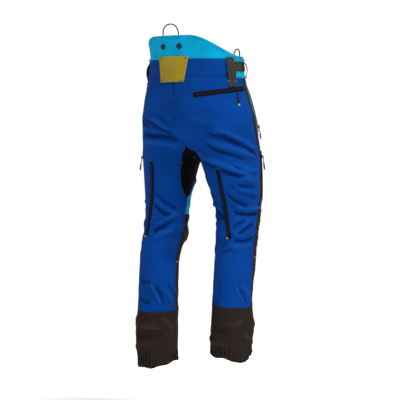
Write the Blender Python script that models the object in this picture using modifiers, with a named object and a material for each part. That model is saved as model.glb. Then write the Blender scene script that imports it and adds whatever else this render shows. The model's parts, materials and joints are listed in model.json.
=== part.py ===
"""Chainsaw protective trousers, standing as worn, modelled as separate sewn and fastened pieces.

Frame: metres, +Z up, origin at the centre of the waist opening at the waist line.
The wearer faces -Y, so +X is the wearer's left and +Y is the back.
"""

import math

import bmesh
import bpy
import numpy as np
from mathutils import Matrix, Vector

COLLECTION = "chainsaw_trousers"
SIDES = {"left": 1.0, "right": -1.0}

# Body form: height, centre x, centre y, half width along x, half depth along y.
PELVIS = (
    (0.10, 0.000, 0.002, 0.187, 0.153),
    (0.00, 0.000, 0.000, 0.178, 0.143),
    (-0.06, -0.001, 0.000, 0.183, 0.147),
    (-0.12, -0.002, -0.001, 0.192, 0.154),
    (-0.18, -0.005, -0.004, 0.201, 0.160),
    (-0.24, -0.007, -0.008, 0.203, 0.164),
    (-0.34, -0.008, -0.012, 0.200, 0.165),
)
LEGS = {
    "left": (
        (0.00, 0.088, 0.000, 0.040, 0.060),
        (-0.14, 0.098, 0.000, 0.078, 0.104),
        (-0.22, 0.106, -0.002, 0.101, 0.118),
        (-0.30, 0.109, 0.000, 0.103, 0.110),
        (-0.36, 0.110, 0.000, 0.103, 0.104),
        (-0.43, 0.119, -0.002, 0.090, 0.094),
        (-0.52, 0.123, 0.006, 0.079, 0.081),
        (-0.61, 0.130, 0.012, 0.078, 0.080),
        (-0.70, 0.144, 0.024, 0.072, 0.074),
        (-0.80, 0.149, 0.027, 0.072, 0.073),
        (-0.90, 0.151, 0.028, 0.074, 0.075),
        (-0.98, 0.155, 0.029, 0.077, 0.077),
        (-1.04, 0.154, 0.029, 0.075, 0.075),
        (-1.12, 0.152, 0.029, 0.067, 0.068),
    ),
    "right": (
        (0.00, -0.088, 0.000, 0.040, 0.060),
        (-0.14, -0.100, -0.006, 0.078, 0.104),
        (-0.22, -0.110, -0.018, 0.103, 0.121),
        (-0.30, -0.118, -0.034, 0.107, 0.116),
        (-0.36, -0.121, -0.044, 0.108, 0.110),
        (-0.43, -0.130, -0.049, 0.099, 0.101),
        (-0.53, -0.146, -0.051, 0.083, 0.084),
        (-0.62, -0.149, -0.040, 0.076, 0.077),
        (-0.75, -0.151, -0.020, 0.074, 0.074),
        (-0.87, -0.153, -0.004, 0.072, 0.072),
        (-0.96, -0.154, -0.002, 0.077, 0.078),
        (-1.02, -0.152, 0.004, 0.074, 0.074),
        (-1.10, -0.151, 0.008, 0.067, 0.068),
    ),
}
SEAT_TOP = -0.15
SEAT_DEPTH = 0.185
BLEND = 0.045
SEAM_X = -0.004
CROTCH_SEARCH = (-0.45, -0.30)
INSEAM_BEARING = -92.0
INSEAM_SETTLES = 0.08
GUSSET_OPENS = 0.022
RAY_LENGTH = 0.4

# Cloth.
CLOTH = 0.002
SEAM_GAP = 0.0004
SEAM_GAP_DEG = 0.45
SAME_POINT = 0.00001
TINY_EDGE = 0.0001
PAD_SINK = 0.0062
PAD_THICKNESS = 0.006

# Heights of the main seams.
BAND_BOTTOM = -0.067
FRONT_TOP = 0.009
YOKE_RISE = 0.073
YOKE_FADE = {"left": (115.0, 80.0), "right": (95.0, 70.0)}
GUSSET_TOP = -0.309
GUSSET_TIP = -0.494
GUSSET_EDGE = {
    "left": (
        (-0.309, -54.0),
        (-0.335, -55.0),
        (-0.380, -56.0),
        (-0.430, -61.0),
        (-0.473, -75.0),
        (-0.494, -92.0),
    ),
    "right": (
        (-0.309, -44.0),
        (-0.335, -43.0),
        (-0.380, -50.0),
        (-0.430, -58.0),
        (-0.473, -75.0),
        (-0.494, -92.0),
    ),
}
KNEE_TOP = -0.553
CUFF_TOP = {"left": -0.905, "right": -0.883}
HEM = {"left": -1.106, "right": -1.080}
PAD_TOP = -0.085
PAD_ABOVE_HEM = 0.05
PAD_INSET = (3.0, 7.0)
CUFF_ROWS = 5
CUFF_COLUMNS = 22
ROWS = (
    -0.067, -0.10, -0.14, -0.18, -0.22, -0.26, -0.29, -0.309, -0.322, -0.335, -0.347, -0.356,
    -0.362, -0.372, -0.387, -0.408, -0.43, -0.452, -0.473, -0.494, -0.523, -0.553, -0.59, -0.63,
    -0.67, -0.71, -0.76, -0.81, -0.86, -0.883, -0.905, -0.96, -1.01, -1.06,
)

ROW_MARGIN = 0.008

# Bearings, in degrees from the straight back towards the outer side.
STRIP_BACK = 103.0
STRIP_FRONT = 125.0
YOKE_END = 73.0
SIDE_END = 118.0
FLY_GAP = 1.2

# Waist fittings: angle round the waist, width, then height and stand-off of each point.
LOOP_ANGLE = 77.0
LOOP_WIDTH = 0.031
LOOP_LINE = (
    (0.006, 0.0026), (-0.006, 0.0024), (-0.018, 0.0095), (-0.028, 0.0148),
    (-0.048, 0.0148), (-0.061, 0.0085), (-0.076, 0.0018), (-0.088, 0.0012), (-0.100, 0.0022),
)
FRONT_LOOP_ANGLE = 118.0
FRONT_LOOP_WIDTH = 0.020
FRONT_LOOP_LINE = (
    (0.004, 0.0016), (-0.006, 0.0020), (-0.014, 0.0090), (-0.024, 0.0140),
    (-0.040, 0.0140), (-0.050, 0.0080), (-0.058, 0.0022), (-0.066, 0.0016),
)
WEBBING = 0.002
WAIST_RADIUS = 0.165
TRIM_LIFT = 0.0013
PATCH_CENTRE = 2.0
PATCH_TOP = (0.009, 26.0)
PATCH_BOTTOM = (-0.083, 19.5)
ADJUSTER_ANGLES = (84.5, 108.0)
ADJUSTER_HEIGHTS = (-0.043, -0.009)
TAB_ANGLES = (173.0, 188.0)
TAB_HEIGHTS = (-0.050, -0.008)
CORD_RADIUS = 0.0022
CORD_SINK = 0.0052
CORD_TUCK = 0.010
CORD_POINTS = 19
# Each cord loop: middle angle, half angle and rise. Its arch: share of the half angle and of the rise.
CORD_LOOPS = {
    "cord_loop_back": (4.0, 13.5, 0.042),
    "cord_loop_left": (92.0, 6.5, 0.026),
    "cord_loop_right": (-92.0, 6.5, 0.026),
}
CORD_ARCH = ((-1.0, 0.0), (-0.94, 0.46), (-0.60, 0.86), (0.0, 1.0), (0.60, 0.86), (0.94, 0.46), (1.0, 0.0))

BUTTON_RADIUS = 0.0105
BUTTON_DEPTH = 0.0036
BUTTON_LIFT = 0.0012
BACK_BUTTONS = {"left": 17.5, "right": -10.5}
BACK_BUTTON_Z = 0.044
FRONT_BUTTON_ANGLE = 150.0
FRONT_BUTTON_Z = -0.020
# Button outline from the middle of its back: shares of the radius and of the depth.
BUTTON_OUTLINE = (
    (0.0, 0.0), (0.62, 0.0), (1.0, 0.45), (0.96, 0.80),
    (0.86, 1.0), (0.42, 1.0), (0.34, 0.72), (0.0, 0.72),
)
BUTTON_STEPS = 14
SNAP_RADIUS = 0.0075
SNAP_DEPTH = 0.0022
SNAP_LIFT = 0.0004
SNAP_FROM_END = 3.5

# Zips.
TAPE_LIFT = 0.0021
TAPE_THICKNESS = 0.0012
TAPE_WIDTH = 0.011
SLIDER_LIFT = 0.0038
SLIDER_SIZE = (0.0085, 0.012, 0.0024)
SLIDER_BEVEL = 0.0008
BRIDGE_LENGTH = 0.0076
BRIDGE_HEIGHT = 0.0036
BRIDGE_BAR = 0.0012
BRIDGE_WIDTH = 0.002
BRIDGE_BITE = 0.0003
TAPE_STEPS = 6
PULL_THICKNESS = 0.0014
PULL_EYE = (0.0035, 0.0008, -0.0060)
PULL_NECK = (0.0011, -0.0083)
PULL_HOLE = (0.0021, -0.0008, -0.0052)
GRIP_START = 0.48
GRIP_SHOULDER = (0.003, 0.002)

# Each zip: its leg, three places (bearing, height, extra lift) and the slider's share.
ZIPS = {
    "back_pocket": ("right", ((-3.0, -0.129, 0.0), (42.0, -0.1165, 0.0), (92.0, -0.106, 0.0)), 0.82),
    "vent_left": ("left", ((9.0, -0.37, 0.0005), (10.0, -0.499, 0.0005), (18.0, -0.628, 0.0005)), 0.93),
    "vent_right": ("right", ((4.0, -0.402, 0.0015), (1.0, -0.512, 0.0025), (13.0, -0.632, 0.0)), 0.93),
    "thigh_left": ("left", ((66.0, -0.335, 0.0), (66.0, -0.415, 0.0), (66.0, -0.495, 0.0)), 0.07),
    "thigh_right": ("right", ((117.0, -0.335, 0.0), (117.0, -0.415, 0.0), (117.0, -0.495, 0.0)), 0.07),
    "hand_left": ("left", ((150.0, -0.10, 0.0), (137.0, -0.175, 0.0), (127.5, -0.25, 0.0005)), 0.93),
    "hand_right": ("right", ((150.0, -0.10, 0.0), (137.0, -0.175, 0.0), (127.5, -0.25, 0.0005)), 0.93),
    "fly": ("left", ((213.1, -0.074, 0.0005), (212.9, -0.155, 0.001), (215.6, -0.225, 0.0015)), 0.06),
}
# Length and grip width of the pull on each kind of zip.
PULL_SIZES = {
    "back": (0.060, 0.0090),
    "vent": (0.026, 0.0065),
    "thigh": (0.050, 0.0075),
    "hand": (0.048, 0.0075),
    "fly": (0.020, 0.0065),
}

BLUE = (0.006, 0.048, 0.290)
TURQUOISE = (0.008, 0.330, 0.570)
OCHRE = (0.330, 0.235, 0.024)
RIPSTOP = (0.020, 0.013, 0.009)
WEB_BROWN = (0.044, 0.032, 0.026)
BLACK = (0.008, 0.008, 0.009)
PAD_GREY = (0.42, 0.41, 0.38)
METAL = (0.30, 0.30, 0.31)


# ---------------------------------------------------------------- scene helpers


def clear_scene():
    for obj in list(bpy.data.objects):
        bpy.data.objects.remove(obj, do_unlink=True)


def new_collection(name):
    collection = bpy.data.collections.new(name)
    bpy.context.scene.collection.children.link(collection)
    return collection


def material(name, color, roughness, metallic=0.0):
    made = bpy.data.materials.new(name)
    made.use_nodes = True
    shader = made.node_tree.nodes["Principled BSDF"]
    shader.inputs["Base Color"].default_value = (*color, 1.0)
    shader.inputs["Roughness"].default_value = roughness
    shader.inputs["Metallic"].default_value = metallic
    made.diffuse_color = (*color, 1.0)
    return made


def add_object(name, data, color, roughness=0.85, metallic=0.0):
    obj = bpy.data.objects.new(name, data)
    PARTS.objects.link(obj)
    data.materials.clear()
    data.materials.append(material(name, color, roughness, metallic))
    return obj


def solidify(obj, thickness):
    shell = obj.modifiers.new("cloth", "SOLIDIFY")
    shell.thickness = thickness
    shell.offset = -1.0
    shell.use_even_offset = True


def axes_matrix(origin, across, along, normal):
    """A matrix whose x, y and z axes are the three directions, at the origin given."""
    return Matrix.Translation(origin) @ Matrix((across, along, normal)).transposed().to_4x4()


# ---------------------------------------------------------------- body form


def between(stations, height):
    """Smooth values between stations, as a cubic through them."""
    table = np.array(sorted(stations))
    heights = table[:, 0]
    values = table[:, 1:]
    height = np.clip(np.asarray(height, float), heights[0], heights[-1])
    steps = np.diff(heights)
    slopes = np.diff(values, axis=0) / steps[:, None]
    weighted = slopes[:-1] * steps[1:, None] + slopes[1:] * steps[:-1, None]
    middle = weighted / (steps[:-1] + steps[1:])[:, None]
    slope = np.vstack([slopes[0], middle, slopes[-1]])
    index = np.clip(np.searchsorted(heights, height) - 1, 0, len(steps) - 1)
    t = ((height - heights[index]) / steps[index])[..., None]
    step = steps[index][..., None]
    result = values[index] * (1 + 2 * t) * (1 - t) ** 2
    result = result + slope[index] * step * t * (1 - t) ** 2
    result = result + values[index + 1] * t * t * (3 - 2 * t)
    result = result + slope[index + 1] * step * t * t * (t - 1)
    return np.moveaxis(result, -1, 0)


def tube(stations, x, y, z, floor=-9.0, depth=1.0):
    """Below zero inside an elliptical tube that closes like an ellipsoid below the floor."""
    centre_x, centre_y, half_x, half_y = between(stations, z)
    sink = np.maximum(0.0, floor - z) / depth
    reach = np.sqrt(((x - centre_x) / half_x) ** 2 + ((y - centre_y) / half_y) ** 2 + sink**2)
    return (reach - 1.0) * np.minimum(half_x, half_y)


def join(first, second):
    share = np.clip(0.5 + 0.5 * (second - first) / BLEND, 0.0, 1.0)
    return second + (first - second) * share - BLEND * share * (1.0 - share)


def body(x, y, z):
    """Below zero inside the trousers: the pelvis and both legs, joined smoothly."""
    legs = join(tube(LEGS["left"], x, y, z), tube(LEGS["right"], x, y, z))
    return join(legs, tube(PELVIS, x, y, z, SEAT_TOP, SEAT_DEPTH))


def bisect(inside, outside, is_inside):
    for _ in range(36):
        middle = (inside + outside) / 2
        hit = is_inside(middle)
        inside = np.where(hit, middle, inside)
        outside = np.where(hit, outside, middle)
    return inside


def find_crotch():
    """Height and y of the lowest point of the body on the seam plane."""
    ys = np.linspace(-0.08, 0.06, 281)

    def lowest(height):
        return body(np.full_like(ys, SEAM_X), ys, np.full_like(ys, float(height)))

    height = float(
        bisect(np.float64(CROTCH_SEARCH[1]), np.float64(CROTCH_SEARCH[0]), lambda z: lowest(z).min() < 0)
    )
    return height, float(ys[lowest(height).argmin()])


def seam_y(height, sign):
    """Where the back (+1) or front (-1) centre seam lies at a height above the crotch."""
    start = CROTCH_Y
    reach = bisect(
        np.zeros_like(height),
        np.full_like(height, 0.25),
        lambda r: body(np.full_like(height, SEAM_X), start + sign * r, height) < 0,
    )
    return start + sign * reach


def bearing_of(side, x, y, height):
    centre_x, centre_y = between(LEGS[side], height)[:2]
    return np.degrees(np.arctan2(SIDES[side] * (x - centre_x), y - centre_y))


def seams(side, height):
    """Bearings of the back and front centre seams, and of the inseam below the crotch."""
    height = np.asarray(height, float)
    above = np.maximum(height, CROTCH_Z)
    back = bearing_of(side, SEAM_X, seam_y(above, 1.0), above)
    front = bearing_of(side, SEAM_X, seam_y(above, -1.0), above) % 360.0
    start = float(bearing_of(side, SEAM_X, CROTCH_Y, CROTCH_Z))
    settled = np.clip((CROTCH_Z - height) / INSEAM_SETTLES, 0.0, 1.0)
    settled = settled * settled * (3.0 - 2.0 * settled)
    inseam = start + (INSEAM_BEARING - start) * settled
    below = height <= CROTCH_Z
    return np.where(below, inseam, back), np.where(below, inseam + 360.0, front)


def gusset_edge(side, height):
    """Bearings of the gusset's edges on the back and on the front of a leg."""
    height = np.asarray(height, float)
    back, front = seams(side, height)
    target = between(GUSSET_EDGE[side], height)[0]
    share = np.clip((GUSSET_TOP - height) / GUSSET_OPENS, 0.0, 1.0)
    spread = np.maximum((target - back) * share, 0.0)
    spread = np.where(height < GUSSET_TIP, 0.0, spread)
    return back + spread, front - spread


def cast(centre, along, height, limit, lift):
    """Points on the body along level rays from a centre, moved outwards by the lift."""
    reach = bisect(
        np.zeros_like(height),
        limit,
        lambda r: body(centre[0] + along[0] * r, centre[1] + along[1] * r, height) < 0,
    )
    points = np.stack([centre[0] + along[0] * reach, centre[1] + along[1] * reach, height], axis=-1)
    return points + outward(points) * np.asarray(lift)[..., None]


def surface(side, bearing, height, lift=0.0):
    """Points on one leg, at bearings round that leg's own centre, kept on its side of the seam."""
    bearing, height = np.broadcast_arrays(np.asarray(bearing, float), np.asarray(height, float))
    centre = between(LEGS[side], height)[:2]
    along = (SIDES[side] * np.sin(np.radians(bearing)), np.cos(np.radians(bearing)))
    to_seam = (SEAM_X - centre[0]) / np.where(np.abs(along[0]) < 1e-9, 1e-9, along[0])
    limit = np.where(to_seam > 0.0, np.minimum(to_seam, RAY_LENGTH), RAY_LENGTH)
    return cast(centre, along, height, limit, lift)


def waist(angle, height, lift=0.0):
    """Points round the waist: the angle runs from the back towards the wearer's left."""
    angle, height = np.broadcast_arrays(np.asarray(angle, float), np.asarray(height, float))
    centre = between(PELVIS, height)[:2]
    along = (np.sin(np.radians(angle)), np.cos(np.radians(angle)))
    return cast(centre, along, height, np.full_like(height, RAY_LENGTH), lift)


def outward(points):
    """Unit directions that point straight out of the body's surface."""
    step = 0.0005
    x, y, z = np.moveaxis(points, -1, 0)
    slope = np.stack(
        [
            body(x + step, y, z) - body(x - step, y, z),
            body(x, y + step, z) - body(x, y - step, z),
            body(x, y, z + step) - body(x, y, z - step),
        ],
        axis=-1,
    )
    return slope / np.linalg.norm(slope, axis=-1, keepdims=True)


def waist_frame(angle, height, lift):
    """A frame on the waist: z points straight out of the cloth, y points up along it."""
    point = Vector(waist(angle, height, lift))
    normal = Vector(waist(angle, height, lift + 0.01)) - point
    normal.normalize()
    across = Vector((0.0, 0.0, 1.0)).cross(normal).normalized()
    return axes_matrix(point, across, normal.cross(across), normal)


def yoke_top(angle):
    """The height of the waist's upper edge: high at the back, falling to the front at each side."""
    angle = np.asarray(angle, float)
    (left_end, left_width), (right_end, right_width) = YOKE_FADE["left"], YOKE_FADE["right"]
    share = np.minimum((left_end - angle) / left_width, (right_end + angle) / right_width)
    share = np.clip(share, 0.0, 1.0)
    return FRONT_TOP + YOKE_RISE * share * share * (3.0 - 2.0 * share)


CROTCH_Z, CROTCH_Y = find_crotch()


# ---------------------------------------------------------------- cloth pieces


def add_grid(bm, points, flip, wrap=False):
    """Quads over a grid of points, given as rows from the top down."""
    rows, columns = points.shape[:2]
    vertices = [[bm.verts.new(point) for point in row] for row in points]
    for row in range(rows - 1):
        for column in range(columns if wrap else columns - 1):
            right = (column + 1) % columns
            corners = [
                vertices[row][column],
                vertices[row + 1][column],
                vertices[row + 1][right],
                vertices[row][right],
            ]
            bm.faces.new(corners if flip else corners[::-1])


def cloth_from(name, bm, color, thickness):
    mesh = bpy.data.meshes.new(name)
    bm.to_mesh(mesh)
    bm.free()
    mesh.shade_smooth()
    obj = add_object(name, mesh, color)
    solidify(obj, thickness)
    return obj


def heights_between(top, bottom):
    """The heights that every piece of a leg shares, so that neighbours bend at the same places."""
    ladder = sorted((*ROWS, CROTCH_Z), reverse=True)
    inner = [row for row in ladder if bottom + ROW_MARGIN < row < top - ROW_MARGIN]
    return np.array([top, *inner, bottom])


def leg_panel(name, side, edges, top, bottom, columns, color, lift=0.0, thickness=CLOTH):
    """A piece of one leg between two seams, given as bearings for each height."""
    heights = heights_between(top - SEAM_GAP, bottom + SEAM_GAP)
    low, high = edges(heights)
    shares = np.linspace(0.0, 1.0, columns + 1)
    bearings = (low + SEAM_GAP_DEG)[:, None] * (1 - shares) + (high - SEAM_GAP_DEG)[:, None] * shares
    points = surface(side, bearings, heights[:, None], lift)
    bm = bmesh.new()
    add_grid(bm, points, flip=side == "right")
    return cloth_from(name, bm, color, thickness)


def back_panel(side):
    def edges(heights):
        return gusset_edge(side, heights)[0], np.full_like(heights, STRIP_BACK)

    leg_panel(f"back_panel_{side}", side, edges, BAND_BOTTOM, CUFF_TOP[side], 9, BLUE)


def side_strip(side):
    def edges(heights):
        return np.full_like(heights, STRIP_BACK), np.full_like(heights, STRIP_FRONT)

    leg_panel(f"side_strip_{side}", side, edges, BAND_BOTTOM, CUFF_TOP[side], 2, RIPSTOP)


def front_edges(side):
    def edges(heights):
        return np.full_like(heights, STRIP_FRONT), gusset_edge(side, heights)[1]

    return edges


def front_panels(side):
    edges = front_edges(side)
    leg_panel(f"front_thigh_{side}", side, edges, BAND_BOTTOM, KNEE_TOP, 7, TURQUOISE)
    leg_panel(f"shin_front_{side}", side, edges, KNEE_TOP, CUFF_TOP[side], 7, RIPSTOP)


def saw_pad(side):
    """The cut-protection pad that hangs inside the front of a leg."""

    def edges(heights):
        low, high = front_edges(side)(heights)
        return low + PAD_INSET[0], high - PAD_INSET[1]

    bottom = HEM[side] + PAD_ABOVE_HEM
    name = f"saw_pad_{side}"
    leg_panel(name, side, edges, PAD_TOP, bottom, 5, PAD_GREY, -PAD_SINK, PAD_THICKNESS)


def cuff(side):
    top = CUFF_TOP[side] - SEAM_GAP
    heights = np.linspace(top, HEM[side], CUFF_ROWS)[:, None]
    bearings = np.linspace(0.0, 360.0, CUFF_COLUMNS, endpoint=False)
    points = surface(side, bearings + 0.0 * heights, heights + 0.0 * bearings)
    bm = bmesh.new()
    add_grid(bm, points, flip=side == "right", wrap=True)
    cloth_from(f"cuff_{side}", bm, RIPSTOP, CLOTH)


def gusset():
    """One diamond over the crotch: four triangles joined along the seat seam and the inseams."""
    heights = heights_between(GUSSET_TOP - SEAM_GAP, GUSSET_TIP + SEAM_GAP)
    bm = bmesh.new()
    for side in SIDES:
        seam_back, seam_front = seams(side, heights)
        edge_back, edge_front = gusset_edge(side, heights)
        for seam, edge, gap in (
            (seam_back, edge_back, -SEAM_GAP_DEG),
            (seam_front, edge_front, SEAM_GAP_DEG),
        ):
            edge = edge + gap
            edge = np.maximum(edge, seam) if gap < 0 else np.minimum(edge, seam)
            shares = np.linspace(0.0, 1.0, 4)
            bearings = seam[:, None] * (1 - shares) + edge[:, None] * shares
            points = surface(side, bearings, heights[:, None])
            add_grid(bm, points, flip=(side == "right") != (gap > 0))
    bmesh.ops.remove_doubles(bm, verts=bm.verts, dist=SEAM_GAP)
    bmesh.ops.dissolve_degenerate(bm, edges=bm.edges, dist=TINY_EDGE)
    cloth_from("gusset", bm, BLACK, CLOTH)


def waist_panel(name, angles, bottom, top, columns, rows, color, lift=0.0, thickness=CLOTH):
    """A piece round the waist between two angles, with its heights given for each angle."""
    angles = np.linspace(angles[0], angles[1], columns + 1)
    low = np.broadcast_to(bottom(angles), angles.shape)
    high = np.broadcast_to(top(angles), angles.shape)
    shares = np.linspace(0.0, 1.0, rows + 1)[:, None]
    points = waist(angles + 0.0 * shares, high * (1 - shares) + low * shares, lift)
    bm = bmesh.new()
    add_grid(bm, points, flip=False)
    return cloth_from(name, bm, color, thickness)


def waist_pieces():
    edge = SEAM_GAP_DEG
    back = (-YOKE_END + edge, YOKE_END - edge)

    def at(height):
        return lambda angles: height

    waist_panel("back_yoke", back, at(SEAM_GAP), yoke_top, 16, 3, TURQUOISE)
    waist_panel("waistband_back", back, at(BAND_BOTTOM), at(-SEAM_GAP), 16, 2, BLUE)
    for side, sign in SIDES.items():
        beside = sorted((sign * (YOKE_END + edge), sign * (SIDE_END - edge)))
        waist_panel(f"waist_side_{side}", beside, at(BAND_BOTTOM), yoke_top, 6, 2, TURQUOISE)
        front = sorted((sign * (SIDE_END + edge), sign * (180.0 - FLY_GAP)))
        name = f"waistband_front_{side}"
        waist_panel(name, front, at(BAND_BOTTOM), at(FRONT_TOP), 6, 2, BLUE)


# ---------------------------------------------------------------- waist fittings


def back_patch():
    """The trapezoid belt tunnel sewn over the middle of the back waistband."""

    def half_angle(share):
        return PATCH_TOP[1] * (1 - share) + PATCH_BOTTOM[1] * share

    shares = np.linspace(0.0, 1.0, 4)[:, None]
    across = np.linspace(-1.0, 1.0, 7)
    heights = PATCH_TOP[0] * (1 - shares) + PATCH_BOTTOM[0] * shares
    angles = PATCH_CENTRE + across * half_angle(shares)
    points = waist(angles, heights + 0.0 * across, TRIM_LIFT + WEBBING)
    bm = bmesh.new()
    add_grid(bm, points, flip=False)
    cloth_from("back_patch", bm, OCHRE, WEBBING)


def webbing_loop(name, angle, width, line, color):
    """A belt loop that lies on the waistband at both ends and stands off it between them."""
    heights = np.array([point[0] for point in line])[:, None]
    lifts = np.array([point[1] for point in line])[:, None] + WEBBING
    reach = math.degrees(width / 2 / WAIST_RADIUS)
    angles = angle + np.array([-reach, 0.0, reach])
    points = waist(angles + 0.0 * heights, heights + 0.0 * angles, lifts + 0.0 * angles)
    bm = bmesh.new()
    add_grid(bm, points, flip=False)
    cloth_from(name, bm, color, WEBBING)


def belt_loops():
    for side, sign in SIDES.items():
        webbing_loop(f"belt_loop_back_{side}", sign * LOOP_ANGLE, LOOP_WIDTH, LOOP_LINE, WEB_BROWN)
        angle = sign * FRONT_LOOP_ANGLE
        webbing_loop(f"belt_loop_front_{side}", angle, FRONT_LOOP_WIDTH, FRONT_LOOP_LINE, OCHRE)


def side_adjusters():
    """Straps that fasten flat on the waistband and peel away from their sewn rear end."""
    for side, sign in SIDES.items():
        angles = sorted(sign * angle for angle in ADJUSTER_ANGLES)
        obj = waist_panel(
            f"side_adjuster_{side}",
            angles,
            lambda a: ADJUSTER_HEIGHTS[0],
            lambda a: ADJUSTER_HEIGHTS[1],
            4,
            1,
            WEB_BROWN,
            TRIM_LIFT + WEBBING,
            WEBBING,
        )
        hinge_at(obj, Vector(waist(sign * ADJUSTER_ANGLES[0], 0.0, TRIM_LIFT + WEBBING / 2)))


def hinge_at(obj, point):
    """Moves a mesh object's origin to a point on its joint axis and leaves its shape in place."""
    obj.data.transform(Matrix.Translation(-point))
    obj.location = point


def waist_tab():
    """The front closing tab, hinged where it is sewn on the wearer's left, and its snap."""
    heights = TAB_HEIGHTS
    obj = waist_panel(
        "waist_tab",
        TAB_ANGLES,
        lambda a: heights[0],
        lambda a: heights[1],
        4,
        1,
        BLUE,
        TRIM_LIFT + WEBBING,
        WEBBING,
    )
    hinge_at(obj, Vector(waist(TAB_ANGLES[0], 0.0, TRIM_LIFT + WEBBING / 2)))
    snap = turned("waist_snap", SNAP_RADIUS, SNAP_DEPTH, METAL, metallic=0.9)
    lift = TRIM_LIFT + WEBBING + SNAP_LIFT
    snap.matrix_world = waist_frame(TAB_ANGLES[1] - SNAP_FROM_END, sum(heights) / 2, lift)


def turned(name, radius, depth, color, metallic=0.0):
    """A round button, turned about its own z axis: flat face, rounded rim, shallow dish."""
    profile = [(radius * across, depth * up) for across, up in BUTTON_OUTLINE]
    mesh = bpy.data.meshes.new(name)
    bm = bmesh.new()
    vertices = [bm.verts.new((x, 0.0, z)) for x, z in reversed(profile)]
    for first, second in zip(vertices, vertices[1:]):
        bm.edges.new((first, second))
    bm.to_mesh(mesh)
    bm.free()
    obj = add_object(name, mesh, color, 0.4, metallic)
    turn = obj.modifiers.new("turn", "SCREW")
    turn.steps = BUTTON_STEPS
    turn.render_steps = BUTTON_STEPS
    turn.use_merge_vertices = True
    turn.merge_threshold = TINY_EDGE / 2
    return obj


def brace_buttons():
    for side, angle in BACK_BUTTONS.items():
        button = turned(f"brace_button_back_{side}", BUTTON_RADIUS, BUTTON_DEPTH, BLACK)
        button.matrix_world = waist_frame(angle, BACK_BUTTON_Z, BUTTON_LIFT)
    for side, sign in SIDES.items():
        button = turned(f"brace_button_front_{side}", BUTTON_RADIUS, BUTTON_DEPTH, BLACK)
        button.matrix_world = waist_frame(sign * FRONT_BUTTON_ANGLE, FRONT_BUTTON_Z, BUTTON_LIFT)


def smooth_route(points, count):
    """Evenly numbered points on a smooth curve through the route's own points."""
    places = np.linspace(0.0, 1.0, len(points))
    rows = [(place, *point) for place, point in zip(places, points)]
    return np.moveaxis(between(rows, np.linspace(0.0, 1.0, count)), 0, -1)


def cord_loop(name, angle, half_angle, rise):
    """A cord loop that stands above the waist edge, its two ends sewn inside it."""
    edge = float(yoke_top(angle))
    arch = [(share, rise * height) for share, height in CORD_ARCH]
    route = [(-1.0, -CORD_TUCK), *arch, (1.0, -CORD_TUCK)]
    points = [waist(angle + share * half_angle, edge + height, -CORD_SINK) for share, height in route]
    curve = bpy.data.curves.new(name, "CURVE")
    curve.dimensions = "3D"
    curve.bevel_depth = CORD_RADIUS
    curve.bevel_resolution = 2
    curve.use_fill_caps = True
    spline = curve.splines.new("POLY")
    track = smooth_route(points, CORD_POINTS)
    spline.points.add(len(track) - 1)
    for point, place in zip(spline.points, track):
        point.co = (*place, 1.0)
    add_object(name, curve, BLACK)


def cord_loops():
    for name, (angle, half_angle, rise) in CORD_LOOPS.items():
        cord_loop(name, angle, half_angle, rise)


# ---------------------------------------------------------------- zips


def arc_through(start, middle, end):
    """Centre, axis and sweep of the circle from start through middle to end."""
    first = middle - start
    second = end - start
    axis = first.cross(second)
    to_centre = (
        axis.cross(first) * second.length_squared + second.cross(axis) * first.length_squared
    ) / (2.0 * axis.length_squared)
    centre = start + to_centre
    axis.normalize()
    spoke = start - centre
    last = end - centre
    sweep = math.atan2(axis.dot(spoke.cross(last)), spoke.dot(last))
    return centre, axis, sweep


def zip_place(track, share):
    """Point on a zip's line, its running direction and its outward direction."""
    centre, axis, sweep = track["arc"]
    turn = Matrix.Rotation(sweep * share, 3, axis)
    spoke = turn @ (track["start"] - centre)
    return centre + spoke, axis.cross(spoke).normalized(), turn @ track["normal"]


def zip_track(side, places):
    """A zip line: the arc through three places on a leg, given as bearing, height and lift.

    Its outward direction turns with the arc, so that a slider keeps the same gap all the way.
    """
    bearings, heights, lifts = np.array(places).T
    points = surface(side, bearings, heights, TAPE_LIFT + lifts)
    normals = outward(points)
    points = [Vector(point) for point in points]
    centre, axis, sweep = arc_through(*points)
    along = axis.cross(points[0] - centre).normalized()
    normal = Vector(normals[0]) + Matrix.Rotation(-sweep, 3, axis) @ Vector(normals[2])
    normal = (normal - along * normal.dot(along)).normalized()
    return {"start": points[0], "arc": (centre, axis, sweep), "normal": normal}


def zip_tape(name, track):
    rows = []
    for share in np.linspace(0.0, 1.0, TAPE_STEPS + 1):
        point, along, out = zip_place(track, share)
        across = along.cross(out)
        edge = point + out * TAPE_THICKNESS
        rows.append([edge - across * TAPE_WIDTH / 2, edge + across * TAPE_WIDTH / 2])
    bm = bmesh.new()
    add_grid(bm, np.array(rows), flip=False)
    cloth_from(name, bm, BLACK, TAPE_THICKNESS)


def box(name, size, centre):
    """A box as a mesh object in the cutter collection, ready to be joined into another."""
    mesh = bpy.data.meshes.new(name)
    bm = bmesh.new()
    bmesh.ops.create_cube(bm, size=1.0)
    bmesh.ops.scale(bm, vec=size, verts=bm.verts)
    bmesh.ops.translate(bm, vec=centre, verts=bm.verts)
    bm.to_mesh(mesh)
    bm.free()
    obj = bpy.data.objects.new(name, mesh)
    HELPERS.objects.link(obj)
    obj.hide_render = True
    obj.display_type = "WIRE"
    return obj


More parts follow.
